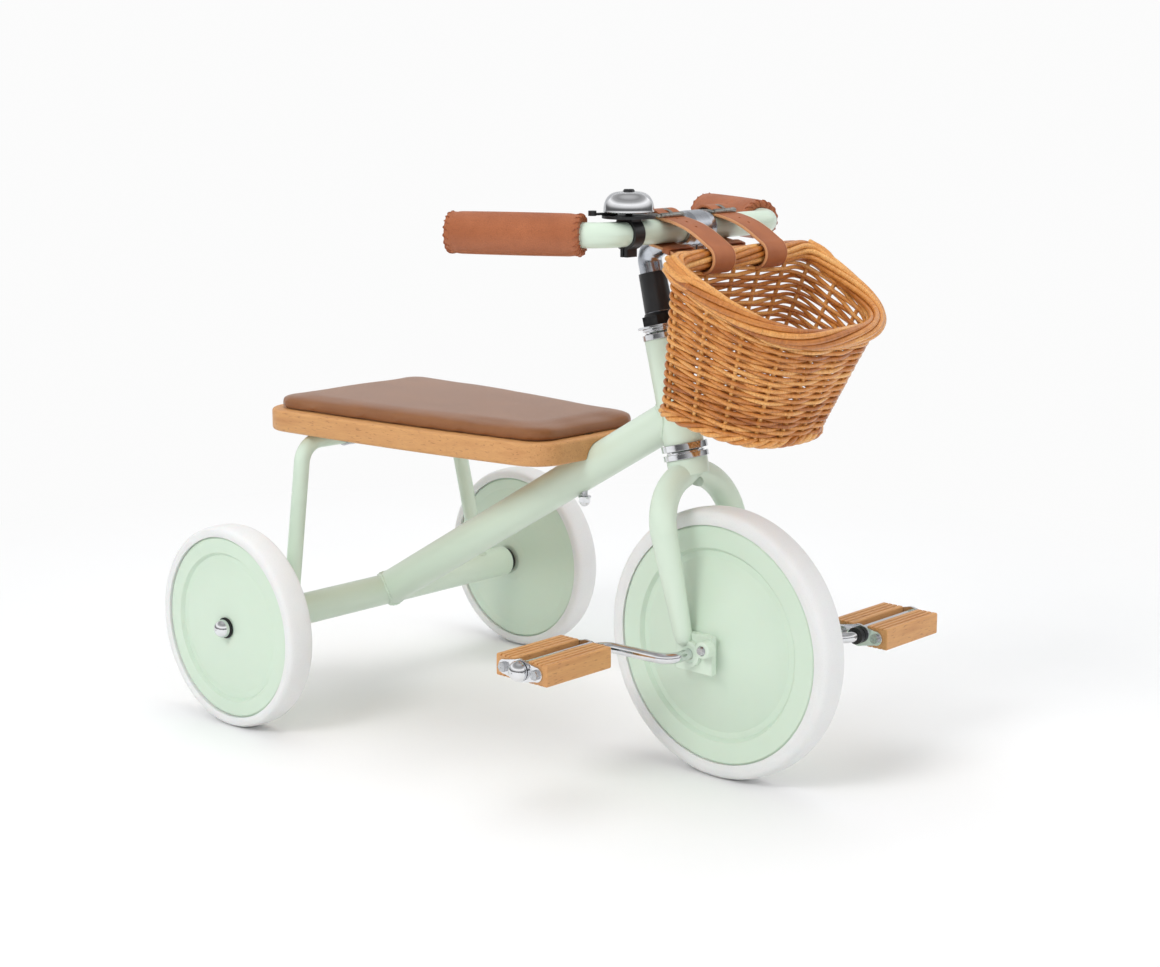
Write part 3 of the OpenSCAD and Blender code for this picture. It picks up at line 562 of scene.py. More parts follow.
FINISH = {
    "frame_paint": powder_coat(),
    "wheel_plastic": moulded_plastic(),
    "tyre_rubber": white_rubber(),
    "black_plastic": black_plastic(),
    "black_steel": black_steel(),
    "chrome": chrome(),
    "plain_steel": zinc_steel(),
    "stem_alloy": polished_alloy(),
    "beech": beech("beech", True),
    "seat_leather": leather("seat_leather", tone(134, 84, 44), tone(146, 94, 52), 1100, 0.07,
                            (0.34, 0.44), 0.25),
    "grip_leather": leather("grip_leather", tone(160, 90, 52), tone(177, 104, 64), 800),
    "strap_leather": strap_leather(),
    "wicker": willow(),
}
PEDAL_BEECH = beech("pedal_beech", False)
LACING = thread("lacing", tone(128, 66, 38), tone(160, 90, 54))
BUCKLE_STEEL = satin_steel()

# The dropout bushes' collars are moulded in the frame's colour.
for node_name, cad_piece in frame["nodes"].items():
    cad_piece.data.materials.clear()
    finish = "wheel_plastic" if node_name == "dropout_bushes" else SLOT_OF[node_name]
    cad_piece.data.materials.append(FINISH[finish])


# ---------- tyres ----------

def tyre_profile(outer, inner, half_width):
    """A rounded tyre section with a thin moulding line round its crown."""
    points = []
    for step in range(49):
        angle = math.pi * (step / 48 - 0.5)
        reach = abs(math.cos(angle)) ** 0.42
        spread = math.copysign(abs(math.sin(angle)) ** 0.62, angle)
        radius = inner + (outer - inner) * reach
        if abs(step - 24) <= 1:
            radius = outer + 0.12 * MM
        points.append((radius, half_width * spread))
    points[0] = (inner, -half_width * 0.92)
    points[-1] = (inner, half_width * 0.92)
    return points


def build_tyre(name, node, centre, body):
    """One tyre, from its wheel disc's edge to just under the CAD tyre's tread."""
    _, width, height = extent(node)
    outer, half_width = height / 2, width / 2
    disc = node.replace("front_tyre", "front_wheel_disc").replace("tyre", "disc")
    inner = extent(disc)[2] / 2 + 0.05 * MM
    made = Builder()
    made.add(lathe(tyre_profile(outer - 0.2 * MM, inner, half_width), centre, LEFT, 192))
    made.piece(name, body, "tyre_rubber", (node,))


build_tyre("front_tyre_tread", "front_tyre", FRONT_HUB, "front_wheel")
build_tyre("right_tyre_tread", "right_wheel_tyre", RIGHT_HUB, "right_rear_wheel")
build_tyre("left_tyre_tread", "left_wheel_tyre", LEFT_HUB, "left_rear_wheel")


# ---------- seat ----------

def even_walk(loop, pacer, count):
    """Points round a closed loop, spaced so that they are even on the pacer, a loop of as many points."""
    loop, pacer = (np.concatenate([row, row[:1]]) for row in (loop, pacer))
    reach = np.concatenate([[0], np.cumsum(np.linalg.norm(np.diff(pacer, axis=0), axis=1))])
    spots = np.linspace(0, reach[-1], count, endpoint=False)
    return np.stack([np.interp(spots, reach, loop[:, k]) for k in (0, 1)], 1)


def plan_outline(node, count):
    """The outer outline of a flat CAD node seen from above, with evenly spaced points."""
    flat = [Vector((v.co.x, v.co.y)) for v in frame["nodes"][node].data.vertices]
    points = np.array([flat[i] for i in convex_hull_2d(flat)])
    return even_walk(points, points, count)


def inset(outline, distance):
    """The outline moved inward along its normals."""
    ahead = loop_heading(outline)
    inward = np.stack([-ahead[:, 1], ahead[:, 0]], 1)
    centre = outline.mean(0)
    if np.sum(inward * (centre - outline)) < 0:
        inward = -inward
    return outline + inward * distance


def slab(outline, rings):
    """A closed slab from rings of (inset, height), bottom to top, with fanned caps."""
    count = len(outline)
    verts = [np.column_stack([inset(outline, distance), np.full(count, height)])
             for distance, height in rings]
    return np.concatenate(verts), ring_faces(len(rings), count, False)


def round_edge(radius, start, sign):
    """Rings of (inset, height) for a rounded edge: sign 1 closes upward, -1 opens from below."""
    return [(radius * (1 - math.cos(angle)), start + sign * radius * math.sin(angle))
            for angle in np.linspace(0, math.pi / 2, 6)]


def build_board():
    """Beech board with rounded edges, let in over the main tube at the front."""
    low, high = corner("seat_board", 0)[2], corner("seat_board", 1)[2]
    edge = 3.2 * MM
    rings = round_edge(edge, low + edge, -1)[::-1] + round_edge(edge, high - edge, 1)
    mesh = new_mesh("seat_board_wood", slab(plan_outline("seat_board", 260), rings))
    tidy_mesh(mesh)
    bolt_x = middle("seat_bolt")[0]
    past = 10 * MM

    def bolt_hole(bottom, radius, sides):
        return sweep([[bolt_x, 0, bottom], [bolt_x, 0, high + past]], circle(radius, sides), LEFT)

    groove = sweep([AXLE, MAIN_HEAD], circle(MAIN_TUBE_RADIUS + 0.5 * MM, 64), LEFT)
    hole = bolt_hole(low - past, 3.3 * MM, 24)
    counterbore = bolt_hole(high - 4 * MM, 8.3 * MM, 32)
    mesh = cut_away(mesh, [groove, hole, counterbore])
    tidy_mesh(mesh)
    place("seat_board_wood", mesh, "frame", "beech", ("seat_board",))


def even_out(mesh, moves, rounds):
    """Averages each point's move with its neighbours', which takes out small creases."""
    ends = np.array([edge.vertices[:] for edge in mesh.edges])
    count = np.bincount(ends.ravel(), minlength=len(moves))[:, None] + 1
    for _ in range(rounds):
        total = moves.copy()
        np.add.at(total, ends[:, 0], moves[ends[:, 1]])
        np.add.at(total, ends[:, 1], moves[ends[:, 0]])
        moves = total / count
    return moves


def inflate(pad, pin_below, pressure, cap):
    """Swells a closed pad by cloth simulation. Points under pin_below stay; none moves over cap."""
    frames = 20
    before = np.array([v.co for v in pad.data.vertices])
    held = pad.vertex_groups.new(name="held")
    held.add([i for i, co in enumerate(before) if co[2] < pin_below], 1.0, "REPLACE")
    cloth = pad.modifiers.new("Cloth", "CLOTH")
    cloth.settings.quality = 6
    cloth.settings.use_pressure = True
    cloth.settings.uniform_pressure_force = pressure
    cloth.settings.tension_stiffness = cloth.settings.compression_stiffness = 25
    cloth.settings.bending_stiffness = 2.0
    cloth.settings.vertex_group_mass = "held"
    cloth.settings.effector_weights.gravity = 0
    cloth.point_cache.frame_start, cloth.point_cache.frame_end = 1, frames
    for number in range(1, frames + 1):
        bpy.context.scene.frame_set(number)
    graph = bpy.context.evaluated_depsgraph_get()
    after = np.array([v.co for v in pad.evaluated_get(graph).data.vertices])
    moved = even_out(pad.data, after - before, 14)
    length = np.linalg.norm(moved, axis=1, keepdims=True)
    moved *= np.minimum(1.0, cap / np.maximum(length, 1e-9))
    pad.modifiers.remove(cloth)
    pad.data.vertices.foreach_set("co", (before + moved).ravel())
    bpy.context.scene.frame_set(1)


def build_cushion():
    """Padded top: a thin pad with a rounded edge that swells above the board, held flat where it rests on it."""
    low, high = corner("seat_cushion", 0)[2], corner("seat_cushion", 1)[2]
    outline = plan_outline("seat_cushion", 240)
    start_top = high - 1.6 * MM
    radius = 5.5 * MM
    rings = [(4.2 * MM, low), (2.6 * MM, low + 0.5 * MM), (1.4 * MM, low + 2.2 * MM),
             (1.0 * MM, low + 4.0 * MM)]
    rings += [(1.0 * MM + i, z) for i, z in round_edge(radius, start_top - radius, 1)]
    mesh = new_mesh("seat_cushion_pad", slab(outline, rings))
    tidy_mesh(mesh, 80)
    pad = place("seat_cushion_pad", mesh, "frame", "seat_leather", ("seat_cushion",))
    remesh = pad.modifiers.new("Remesh", "REMESH")
    remesh.mode = "VOXEL"
    remesh.voxel_size = 4 * MM
    remesh.use_smooth_shade = True
    graph = bpy.context.evaluated_depsgraph_get()
    pad.data = bpy.data.meshes.new_from_object(pad.evaluated_get(graph))
    pad.modifiers.clear()
    inflate(pad, low + 1.6 * MM, 4.0, 5 * MM)
    limit_pad(pad.data, low, high + 1.2 * MM)
    pad.data.shade_smooth()
    smooth = pad.modifiers.new("Subdivision", "SUBSURF")
    smooth.levels = smooth.render_levels = 1


def limit_pad(mesh, low, high):
    """Keeps the pad above the board and eases its crown under the given height."""
    co = np.array([v.co for v in mesh.vertices])
    over = np.maximum(co[:, 2] - (high - 3 * MM), 0)
    co[:, 2] = np.minimum(co[:, 2], high - 3 * MM) + 3 * MM * np.tanh(over / (3 * MM))
    co[:, 2] = np.maximum(co[:, 2], low + 0.05 * MM)
    mesh.vertices.foreach_set("co", co.ravel())


build_board()
build_cushion()


# ---------- pedals ----------

PEDAL_BLOCK_WIDTH = 23 * MM


def block_outline(width, height):
    """A pedal block's section: eased corners and three grooves on top and below."""
    half_w, half_h, ease = width / 2, height / 2, 1.2 * MM
    groove, depth, lip = 0.8 * MM, 1.6 * MM, 0.35 * MM
    top = [(-half_w, half_h - ease), (-half_w + 0.35 * ease, half_h - 0.35 * ease),
           (-half_w + ease, half_h)]
    for centre in (-5.5 * MM, 0.0, 5.5 * MM):
        top += [(centre - groove - lip, half_h), (centre - groove, half_h - lip),
                (centre - groove, half_h - depth), (centre + groove, half_h - depth),
                (centre + groove, half_h - lip), (centre + groove + lip, half_h)]
    top += [(half_w - ease, half_h), (half_w - 0.35 * ease, half_h - 0.35 * ease),
            (half_w, half_h - ease)]
    return np.array(top + [(-x, -z) for x, z in top])


def build_pedal(side):
    """Two grooved beech blocks of one pedal."""
    node = side + "_pedal_blocks"
    low, high = corner(node, 0), corner(node, 1)
    outline = block_outline(PEDAL_BLOCK_WIDTH, extent(node)[2])
    eased = 0.9 * MM
    made = Builder()
    for x in (low[0] + PEDAL_BLOCK_WIDTH / 2, high[0] - PEDAL_BLOCK_WIDTH / 2):
        path = [[x, y, middle(node)[2]] for y in (low[1], low[1] + eased, high[1] - eased, high[1])]
        made.add(sweep(path, outline, FORWARD, scale=[0.955, 1, 1, 0.955]))
    made.piece(side + "_pedal_wood", side + "_pedal", "beech", (node,), 25, PEDAL_BEECH)


build_pedal("right")
build_pedal("left")


# ---------- grips ----------

def grip_frame(side):
    """Start point and direction of a grip; side is 1 for left, -1 for right."""
    corner_point = BAR + LEFT * side * BAR_HALF
    heading = np.array([-math.sin(GRIP_SWEEP), side * math.cos(GRIP_SWEEP), 0.0])
    return corner_point + heading * GRIP_START, heading


def grip_radius(place_along):
    """Leather's outer radius: full in the middle, pulled in by the lacing near each end."""
    t = place_along / GRIP_LENGTH
    belly = 0.35 * MM * math.sin(math.pi * t)
    pull = sum(0.55 * MM * math.exp(-((place_along - at) / (2.6 * MM)) ** 2)
               for at in (7 * MM, GRIP_LENGTH - 7 * MM))
    end_gap = min(place_along, GRIP_LENGTH - place_along)
    gather = 0.9 * MM * math.exp(-(end_gap / (2.2 * MM)) ** 2)
    return GRIP_RADIUS - 0.55 * MM + belly - pull - gather


def grip_profile():
    """Closed outline of the sleeve, (radius, place): the bar's bore, the ends and the face."""
    outer = [(grip_radius(at), at) for at in np.linspace(1.6 * MM, GRIP_LENGTH - 1.8 * MM, 61)]
    inner_end = [(BAR_RADIUS + 0.15 * MM, 1.2 * MM), (BAR_RADIUS + 0.8 * MM, 0.3 * MM),
                 (15.5 * MM, 0.0), (17.2 * MM, 0.3 * MM)]
    outer_end = [(17.4 * MM, GRIP_LENGTH - 0.6 * MM), (15.2 * MM, GRIP_LENGTH),
                 (8 * MM, GRIP_LENGTH - 0.3 * MM), (0.4 * MM, GRIP_LENGTH - 0.4 * MM),
                 (0.4 * MM, GRIP_LENGTH - 3 * MM), (BAR_RADIUS + 0.15 * MM, GRIP_LENGTH - 3.2 * MM)]
    return inner_end + outer + outer_end


def whip_stitch(spot, end, inward, angle, lean):
    """One slanted stitch from the face, over the sleeve's end and in towards the bar."""
    path = []
    for t in np.linspace(0, 1, 14):
        over = max(0.0, (t - 0.5) / 0.5)
        at = end + inward * (5.0 * MM * max(0.0, 1 - t / 0.62) - 0.45 * MM * over)
        dip = 1.1 * MM * (max(0, 0.14 - t) + max(0, t - 0.86)) / 0.14
        radius = grip_radius(max(3 * MM, min(GRIP_LENGTH - 3 * MM, at))) + 0.1 * MM
        radius -= 0.9 * MM * max(0.0, 1 - abs(at - end) / (2 * MM))
        radius -= 3.4 * MM * over ** 1.5 + dip
        path.append(spot(at, radius, angle + lean * t))
    return path


def build_grip(side, name):
    """A leather sleeve with whip stitches round both ends and a seam along its underside."""
    start, heading = grip_frame(side)
    sleeve = Builder()
    sleeve.add(lathe(grip_profile(), start, heading, 96))
    sleeve.piece(name + "_grip_sleeve", "handlebar_set", "grip_leather", (name + "_grip",))

    across = np.cross(heading, UP)

    def spot(at, radius, angle):
        return start + heading * at + radius * (math.cos(angle) * UP + math.sin(angle) * across)

    lacing = Builder()
    stitches = 17
    for end, inward in ((0.0, 1), (GRIP_LENGTH, -1)):
        for k in range(stitches):
            angle = 2 * math.pi * (k + 0.35 * (inward > 0)) / stitches
            path = whip_stitch(spot, end, inward, angle, 0.30 + 0.08 * math.sin(5.0 * k))
            lacing.add(rod(path, 0.6 * MM, 7, heading * 0.7 + UP * 0.31 + across * 0.2))
    seam = math.pi * 0.93
    for k in range(26):
        at = 10 * MM + (GRIP_LENGTH - 20 * MM) * k / 25
        path = [spot(at + s * 1.3 * MM, grip_radius(at) + 0.3 * MM - 0.9 * MM * s * s, seam + 0.05 * s)
                for s in np.linspace(-1, 1, 7)]
        lacing.add(rod(path, 0.45 * MM, 6, across + UP * 0.3))
    lacing.piece(name + "_grip_lacing", "handlebar_set", "grip_leather", material=LACING)


build_grip(1, "left")
build_grip(-1, "right")


# ---------- bell ----------

def build_bell():
    """Spun bell dome with a rolled lip, over its black base."""
    centre = np.array([BELL_AXIS[0], BELL_AXIS[1], corner("bell_dome", 0)[2]])
    radius, height = extent("bell_dome")[0] / 2, extent("bell_dome")[2]
    skin, post, foot = 1.2 * MM, 3.2 * MM, 1.6 * MM
    outer, inner = [], []
    for step in range(25):
        angle = math.pi / 2 * step / 24
        wide, tall = math.cos(angle) ** 0.62, math.sin(angle) ** 0.95
        outer.append((post + (radius - post) * wide, foot + (height - foot) * tall))
        inner.append((post + (radius - skin - post) * wide, foot + (height - skin - foot) * tall))
    lip = [(radius - skin, 0.2 * MM), (radius - 0.5 * MM, 0.0), (radius + 0.25 * MM, 0.5 * MM),
           (radius + 0.2 * MM, 1.1 * MM)]
    made = Builder()
    made.add(lathe(inner[::-1] + lip + outer, centre, UP, 96))
    made.piece("bell_dome_shell", "handlebar_set", "chrome", ("bell_dome",))


build_bell()


# ---------- basket ----------

STAKES = 16
ROWS = 31
LOOP = 320
WEAVER = 1.9 * MM
STAKE = 2.0 * MM
SWING = 2.9 * MM
FIRST_STAKE = 0.4
ZIGZAG_PEAK = 1.33


def rim_height(x, share):
    """Height in the wall at a share of the way up; the rim dips towards the front."""
    return share * (BASKET_HEIGHT - 8 * MM - RIM_DROP * x / RIM_LENGTH)


def basket_outline(share):
    """Points round the wall at a share of its height, evenly spaced on the rim, and outward normals."""
    def raw(half_width, length):
        curve = []
        for step in range(241):
            angle = math.pi * (step / 240 - 0.5)
            curve.append((length * abs(math.cos(angle)) ** 0.62,
                          half_width * math.copysign(abs(math.sin(angle)) ** 0.62, angle)))
        for step in range(1, 80):
            curve.append((0.0, half_width * (1 - step / 40)))
        return np.array(curve)

    here = raw(FLOOR_HALF_WIDTH + (RIM_HALF_WIDTH - FLOOR_HALF_WIDTH) * share,
               FLOOR_LENGTH + (RIM_LENGTH - FLOOR_LENGTH) * share)
    flat = even_walk(here, raw(RIM_HALF_WIDTH, RIM_LENGTH), LOOP)
    window = LOOP // 24
    flat = sum(np.roll(flat, shift, 0) for shift in range(-window, window + 1)) / (2 * window + 1)
    ahead = loop_heading(flat)
    outward = np.stack([ahead[:, 1], -ahead[:, 0]], 1)
    return flat, outward


def cane_tints(count):
    """A cane's shade, changing slowly round a closed loop."""
    base = noise_bank.uniform(0.15, 0.85)
    turn = full_turn(count)
    phase = noise_bank.uniform(0, 2 * math.pi, 2)
    return np.clip(base + 0.12 * np.sin(turn * 2 + phase[0]) + 0.08 * np.sin(turn * 5 + phase[1]), 0, 1)


def basket_loop(made, share, out, lift, radius, sides, tint=None):
    """A closed cane round the basket. out and lift are offsets from the wall's middle, per point."""
    flat, outward = basket_outline(share)
    place_out = out - WALL / 2
    x = flat[:, 0] + outward[:, 0] * place_out
    y = flat[:, 1] + outward[:, 1] * place_out
    path = in_basket(x, y, rim_height(flat[:, 0], share) + lift)
    length = np.linalg.norm(np.roll(path, -1, 0) - path, axis=1)
    along = np.cumsum(length) + noise_bank.uniform(0, 10)
    shade = cane_tints(LOOP) if tint is None else np.full(LOOP, tint)
    made.add(rod(path, radius, sides, BASKET_UP, closed=True),
             np.repeat(shade, sides), np.repeat(along, sides))


def basket_piece(made, name, replaces=()):
    """Finishes one piece of the basket."""
    made.piece(name, "handlebar_set", "wicker", replaces, 60)


def build_weave():
    """Stakes and weavers of the wall: each weaver goes over one stake and under the next."""
    made = Builder()
    turn = np.arange(LOOP) / LOOP
    first_row, last_row = 0.035, 0.96
    for row in range(ROWS):
        share = first_row + (last_row - first_row) * (row + 0.5) / ROWS
        beat = math.pi * (STAKES * turn - FIRST_STAKE + row)
        swing = SWING * np.arcsin(0.972 * np.cos(beat)) / ZIGZAG_PEAK
        drift = noise_bank.uniform(0, 2 * math.pi, 2)
        wander = 0.35 * MM * np.sin(4 * math.pi * turn + drift[0])
        wander = wander + 0.25 * MM * np.sin(14 * math.pi * turn + drift[1])
        radius = WEAVER * noise_bank.uniform(0.93, 1.07)
        basket_loop(made, share, swing, wander, radius, 7)
    for k in range(STAKES):
        index = round((k + FIRST_STAKE) * LOOP / STAKES) % LOOP
        path = []
        for share in np.linspace(0.0, 0.99, 22):
            flat, outward = basket_outline(share)
            x, y = flat[index] - outward[index] * WALL / 2
            path.append(in_basket(x, y, rim_height(flat[index, 0], share)))
        count = (len(path) + 2) * 8
        made.add(rod(path, STAKE, 8, LEFT + 0.3 * BASKET_FORWARD), 0.8, np.linspace(k, k + 0.13, count))
    basket_piece(made, "basket_weave", ("basket",))


def twisted_border(made, share, lift, canes, rope, radius, turns, squash, core=True):
    """Canes wound round each other along the wall's edge; rope is how far each is from the middle."""
    turn = full_turn(LOOP)
    for k in range(canes):
        angle = turns * turn + 2 * math.pi * k / canes
        basket_loop(made, share, rope * np.cos(angle) * squash, lift + rope * np.sin(angle), radius, 9)
    if core:
        basket_loop(made, share, 0.0 * turn, lift, radius * 1.1, 8, 0.3)


def butt_ends(made):
    """The cut ends of the border's canes, stacked at both back corners."""
    flat, outward = basket_outline(1.0)
    rim_steps = (21, 17, 13, 9, 6, 3)
    rise = np.array([0.35, 0.7, 0.93, 1.0, 1.0, 1.0])
    for side in (-1, 1):
        for k in range(5):
            turn = math.radians(75 - 36 * k)
            out = 7.2 * MM * math.cos(turn) * rise - WALL / 2
            rows = [flat[i] + outward[i] * out[n] for n, i in enumerate(rim_steps)]
            reach = (5.5 + 1.2 * math.sin(3.0 * k + side)) * MM
            rows.append(rows[-1] + unit(rows[-1] - rows[-3]) * reach)
            rows = np.array(rows)
            lift = 0.6 * MM + 8.6 * MM * math.sin(turn) * np.append(rise, 1.0)
            height = rim_height(rows[:, 0], 1.0) + lift
            path = in_basket(rows[:, 0], rows[:, 1] * -side, height)
            shade = np.full((len(path) + 2) * 9, noise_bank.uniform(0.4, 0.75))
            shade[-18:] = 0.95
            made.add(rod(path, 2.9 * MM, 9, BASKET_UP), shade, k)


def build_borders():
    """The thick twisted rim with its butt ends, and the thinner border round the foot."""
    made = Builder()
    butt_ends(made)
    twisted_border(made, 1.0, 0.6 * MM, 8, 6.7 * MM, 2.6 * MM, 2, 0.95)
    basket_piece(made, "basket_rim")
    foot = Builder()
    twisted_border(foot, 0.0, 1.8 * MM, 4, 3.2 * MM, 2.3 * MM, 9, 1.0, False)
    basket_piece(foot, "basket_foot")


def build_floor_weave():
    """Woven floor: sticks front to back with canes across them."""
    made = Builder()
    flat, _ = basket_outline(0.02)
    sticks = np.linspace(-0.84, 0.84, 8) * FLOOR_HALF_WIDTH
    lift = 3.4 * MM

    def front_edge(y):
        ahead = flat[flat[:, 0] > 2 * MM]
        ahead = ahead[np.argsort(np.abs(ahead[:, 1]))]
        return np.interp(abs(y), np.abs(ahead[:, 1]), ahead[:, 0])

    for y in sticks:
        x = np.linspace(2 * MM, front_edge(y) - 3 * MM, 20)
        made.add(rod(in_basket(x, y, lift), 1.9 * MM, 8, LEFT), 0.7, np.repeat(np.linspace(0, 0.1, 22), 8))
    spacing = sticks[1] - sticks[0]
    row = 0
    x = 4 * MM
    side = flat[flat[:, 0] > 1 * MM]
    while x < FLOOR_LENGTH - 5 * MM:
        reach = np.max(np.abs(side[np.abs(side[:, 0] - x) < 3 * MM, 1]), initial=0) - 3 * MM
        if reach > 12 * MM:
            y = np.linspace(-reach, reach, 70)
            wave = 2.6 * MM * np.cos(math.pi * (y - sticks[0]) / spacing + math.pi * row)
            shade = noise_bank.uniform(0.2, 0.8)
            made.add(rod(in_basket(x, y, lift + wave), 2.0 * MM, 7, BASKET_FORWARD), shade,
                     np.repeat(np.linspace(0, 2 * reach, 72) + row, 7))
        x += 4.5 * MM
        row += 1
    basket_piece(made, "basket_floor")


build_weave()
build_borders()
build_floor_weave()


# ---------- straps and buckles ----------

STRAP_WIDTH = 30 * MM
STRAP_THICK = 2.4 * MM
STRAP_SIDE = 37 * MM
BAR_ARC_POINTS = 26
RIM_CENTRE = in_basket(WALL / 2, 0.0, BASKET_HEIGHT - 7.4 * MM)


def spoke(angle):
    """A direction in the XZ plane: 0 points forward, 90 degrees up."""
    return np.array([math.cos(angle), 0.0, math.sin(angle)])


def flat_loop(centre_a, radius_a, centre_b, radius_b, bulge, slack):
    """A belt round two circles in the XZ plane. Its front run bulges and its back run hangs in."""
    gap = centre_b - centre_a
    distance = math.hypot(gap[0], gap[2])
    heading = math.atan2(gap[2], gap[0])
    lean = math.acos((radius_a - radius_b) / distance)

    def arc(centre, radius, first, last, count):
        return [centre + radius * spoke(angle) for angle in np.linspace(first, last, count)]

    def run(start, end, normal, bow, count):
        return [start + (end - start) * t + spoke(normal) * bow * math.sin(math.pi * t)
                for t in np.linspace(0, 1, count)]

    front, back = heading + lean, heading - lean
    points = arc(centre_a, radius_a, back + 2 * math.pi, front, BAR_ARC_POINTS)
    points += run(points[-1], centre_b + radius_b * spoke(front), front, bulge, 22)[1:]
    points += arc(centre_b, radius_b, front, back, 18)[1:]
    points += run(points[-1], centre_a + radius_a * spoke(back), back, -slack, 16)[1:-1]
    return np.array(points)


def strap_tints(outline, rings):
    """0 at the middle of the strap's width and 1 at its edges, for the crease and the cut edge."""
    return np.tile(np.abs(outline[:, 0]) / (STRAP_WIDTH / 2), rings)


def strap_section(width, thick):
    """A flat outline with points across it, so the crease and the cut edge can be coloured."""
    half = width / 2
    across = [-0.985, -0.9, -0.83, -0.76, -0.4, 0.0, 0.4, 0.76, 0.83, 0.9, 0.985]
    top = [(half * a, thick / 2) for a in across]
    edge = [(half, thick * 0.28), (half, -thick * 0.28)]
    return np.array(top + edge + [(-x, -z) for x, z in top] + [(-x, -z) for x, z in edge])


def strap_tail(section):
    """The strap's free end: it rises in a small arch behind the buckle and lies down again."""
    path = []
    for t in np.linspace(0, 1, 24):
        angle = math.radians(70 + 114 * t)
        radius = BAR_RADIUS + 0.5 * MM + 1.6 * STRAP_THICK + 4.6 * MM * math.sin(math.pi * t) ** 1.3
        path.append(BAR + radius * spoke(angle))
    return sweep(path, section * np.array([0.96, 0.9]), LEFT)


def build_straps():
    """Two leather loops round the bar and the rim, each with holes, a tail, a keeper and a buckle."""
    straps, buckles = Builder(), Builder()
    section = strap_section(STRAP_WIDTH, STRAP_THICK)
    path = flat_loop(BAR, BAR_RADIUS + 0.4 * MM + STRAP_THICK / 2, RIM_CENTRE,
                     10.9 * MM + STRAP_THICK / 2, 4.0 * MM, 3 * MM)
    front_start = BAR_ARC_POINTS - 1
    cutters = []
    tail = strap_tail(section)
    for side in (-1, 1):
        offset = LEFT * side * STRAP_SIDE
        straps.add((tail[0] + offset, tail[1]), 0.4)
        straps.add(sweep(path + offset, section, LEFT, closed=True), strap_tints(section, len(path)))
        for hole in (3, 7, 11):
            spot = path[front_start + hole] + offset
            ahead = unit(path[front_start + hole + 1] - path[front_start + hole - 1])
            outward = np.cross(ahead, LEFT)
            cutters.append(sweep([spot - outward * 4 * MM, spot + outward * 4 * MM],
                                 circle(1.35 * MM, 16), LEFT))
        keeper = path[len(path) - 5] + offset
        ahead = unit(path[len(path) - 4] - path[len(path) - 6])
        round_band = circle(1.0, 40)
        band = np.sign(round_band) * np.abs(round_band) ** 0.35 * [16.4 * MM, 2.7 * MM]
        lift = np.cross(ahead, LEFT)
        ring = keeper + LEFT * band[:, :1] + lift * band[:, 1:]
        straps.add(sweep(ring, rounded_bar(8 * MM, 1.5 * MM, 0.5 * MM), ahead, closed=True), 0.3)
        build_buckle(buckles, offset)
    strap_piece = straps.piece("leather_straps", "handlebar_set", "strap_leather", ("basket_straps",))
    strap_piece.data = cut_away(strap_piece.data, cutters)
    tidy_mesh(strap_piece.data)
    buckles.piece("wire_buckles", "handlebar_set", "chrome", ("strap_buckles",), material=BUCKLE_STEEL)


def build_buckle(made, offset):
    """A wire frame that hugs the strap on top of the bar, with a roller and a prong."""
    wire = 1.5 * MM
    radius = BAR_RADIUS + 0.4 * MM + STRAP_THICK + wire
    middle_angle, half_long, half_wide, bend = math.radians(92), 8.0 * MM, 17.2 * MM, 3 * MM

    def spot(a, b, lift=0.0):
        return BAR + offset + LEFT * b + spoke(middle_angle - a / radius) * (radius + lift)

    ring = [spot(a, b) for a, b in rounded_bar(2 * half_long, 2 * half_wide, bend, 6)]
    made.add(rod(np.array(ring), wire, 12, UP, closed=True))
    roller = [spot(half_long, b, 0.5 * MM) for b in (-15.2 * MM, -14.6 * MM, 14.6 * MM, 15.2 * MM)]
    made.add(sweep(roller, circle(2.3 * MM, 20), UP, scale=[0.85, 1, 1, 0.85]))
    prong = [spot(half_long * t, 0.0, (3.2 - 1.4 * t * t) * MM) for t in np.linspace(-1.0, 1.15, 14)]
    made.add(rod(np.array(prong), 1.15 * MM, 8, LEFT))


build_straps()


# ---------- weld beads ----------

def meeting_line(foot, heading, radius, other_foot, other_heading, other_radius):
    """The closed line where a tube leaves the surface of another tube."""
    heading, other_heading = unit(heading), unit(other_heading)
    first = unit(np.cross(heading, other_heading))
    second = np.cross(heading, first)
    step_flat = heading - other_heading * (heading @ other_heading)
    a = step_flat @ step_flat
    line = []
    for angle in full_turn(120):
        start = foot + radius * (math.cos(angle) * first + math.sin(angle) * second)
        gap = start - other_foot
        gap_flat = gap - other_heading * (gap @ other_heading)
        b = gap_flat @ step_flat
        c = gap_flat @ gap_flat - other_radius ** 2
        along = (-b + math.sqrt(max(b * b - a * c, 0.0))) / a
        line.append(start + heading * along)
    return np.array(line)


def weld_bead(made, line, radius, across):
    """A rippled bead laid along a closed line."""
    ripples = round(len(line) / 4)
    ripple = 1 + 0.13 * np.sin(full_turn(len(line)) * ripples)
    made.add(sweep(line, circle(radius, 10), across, closed=True, scale=ripple))


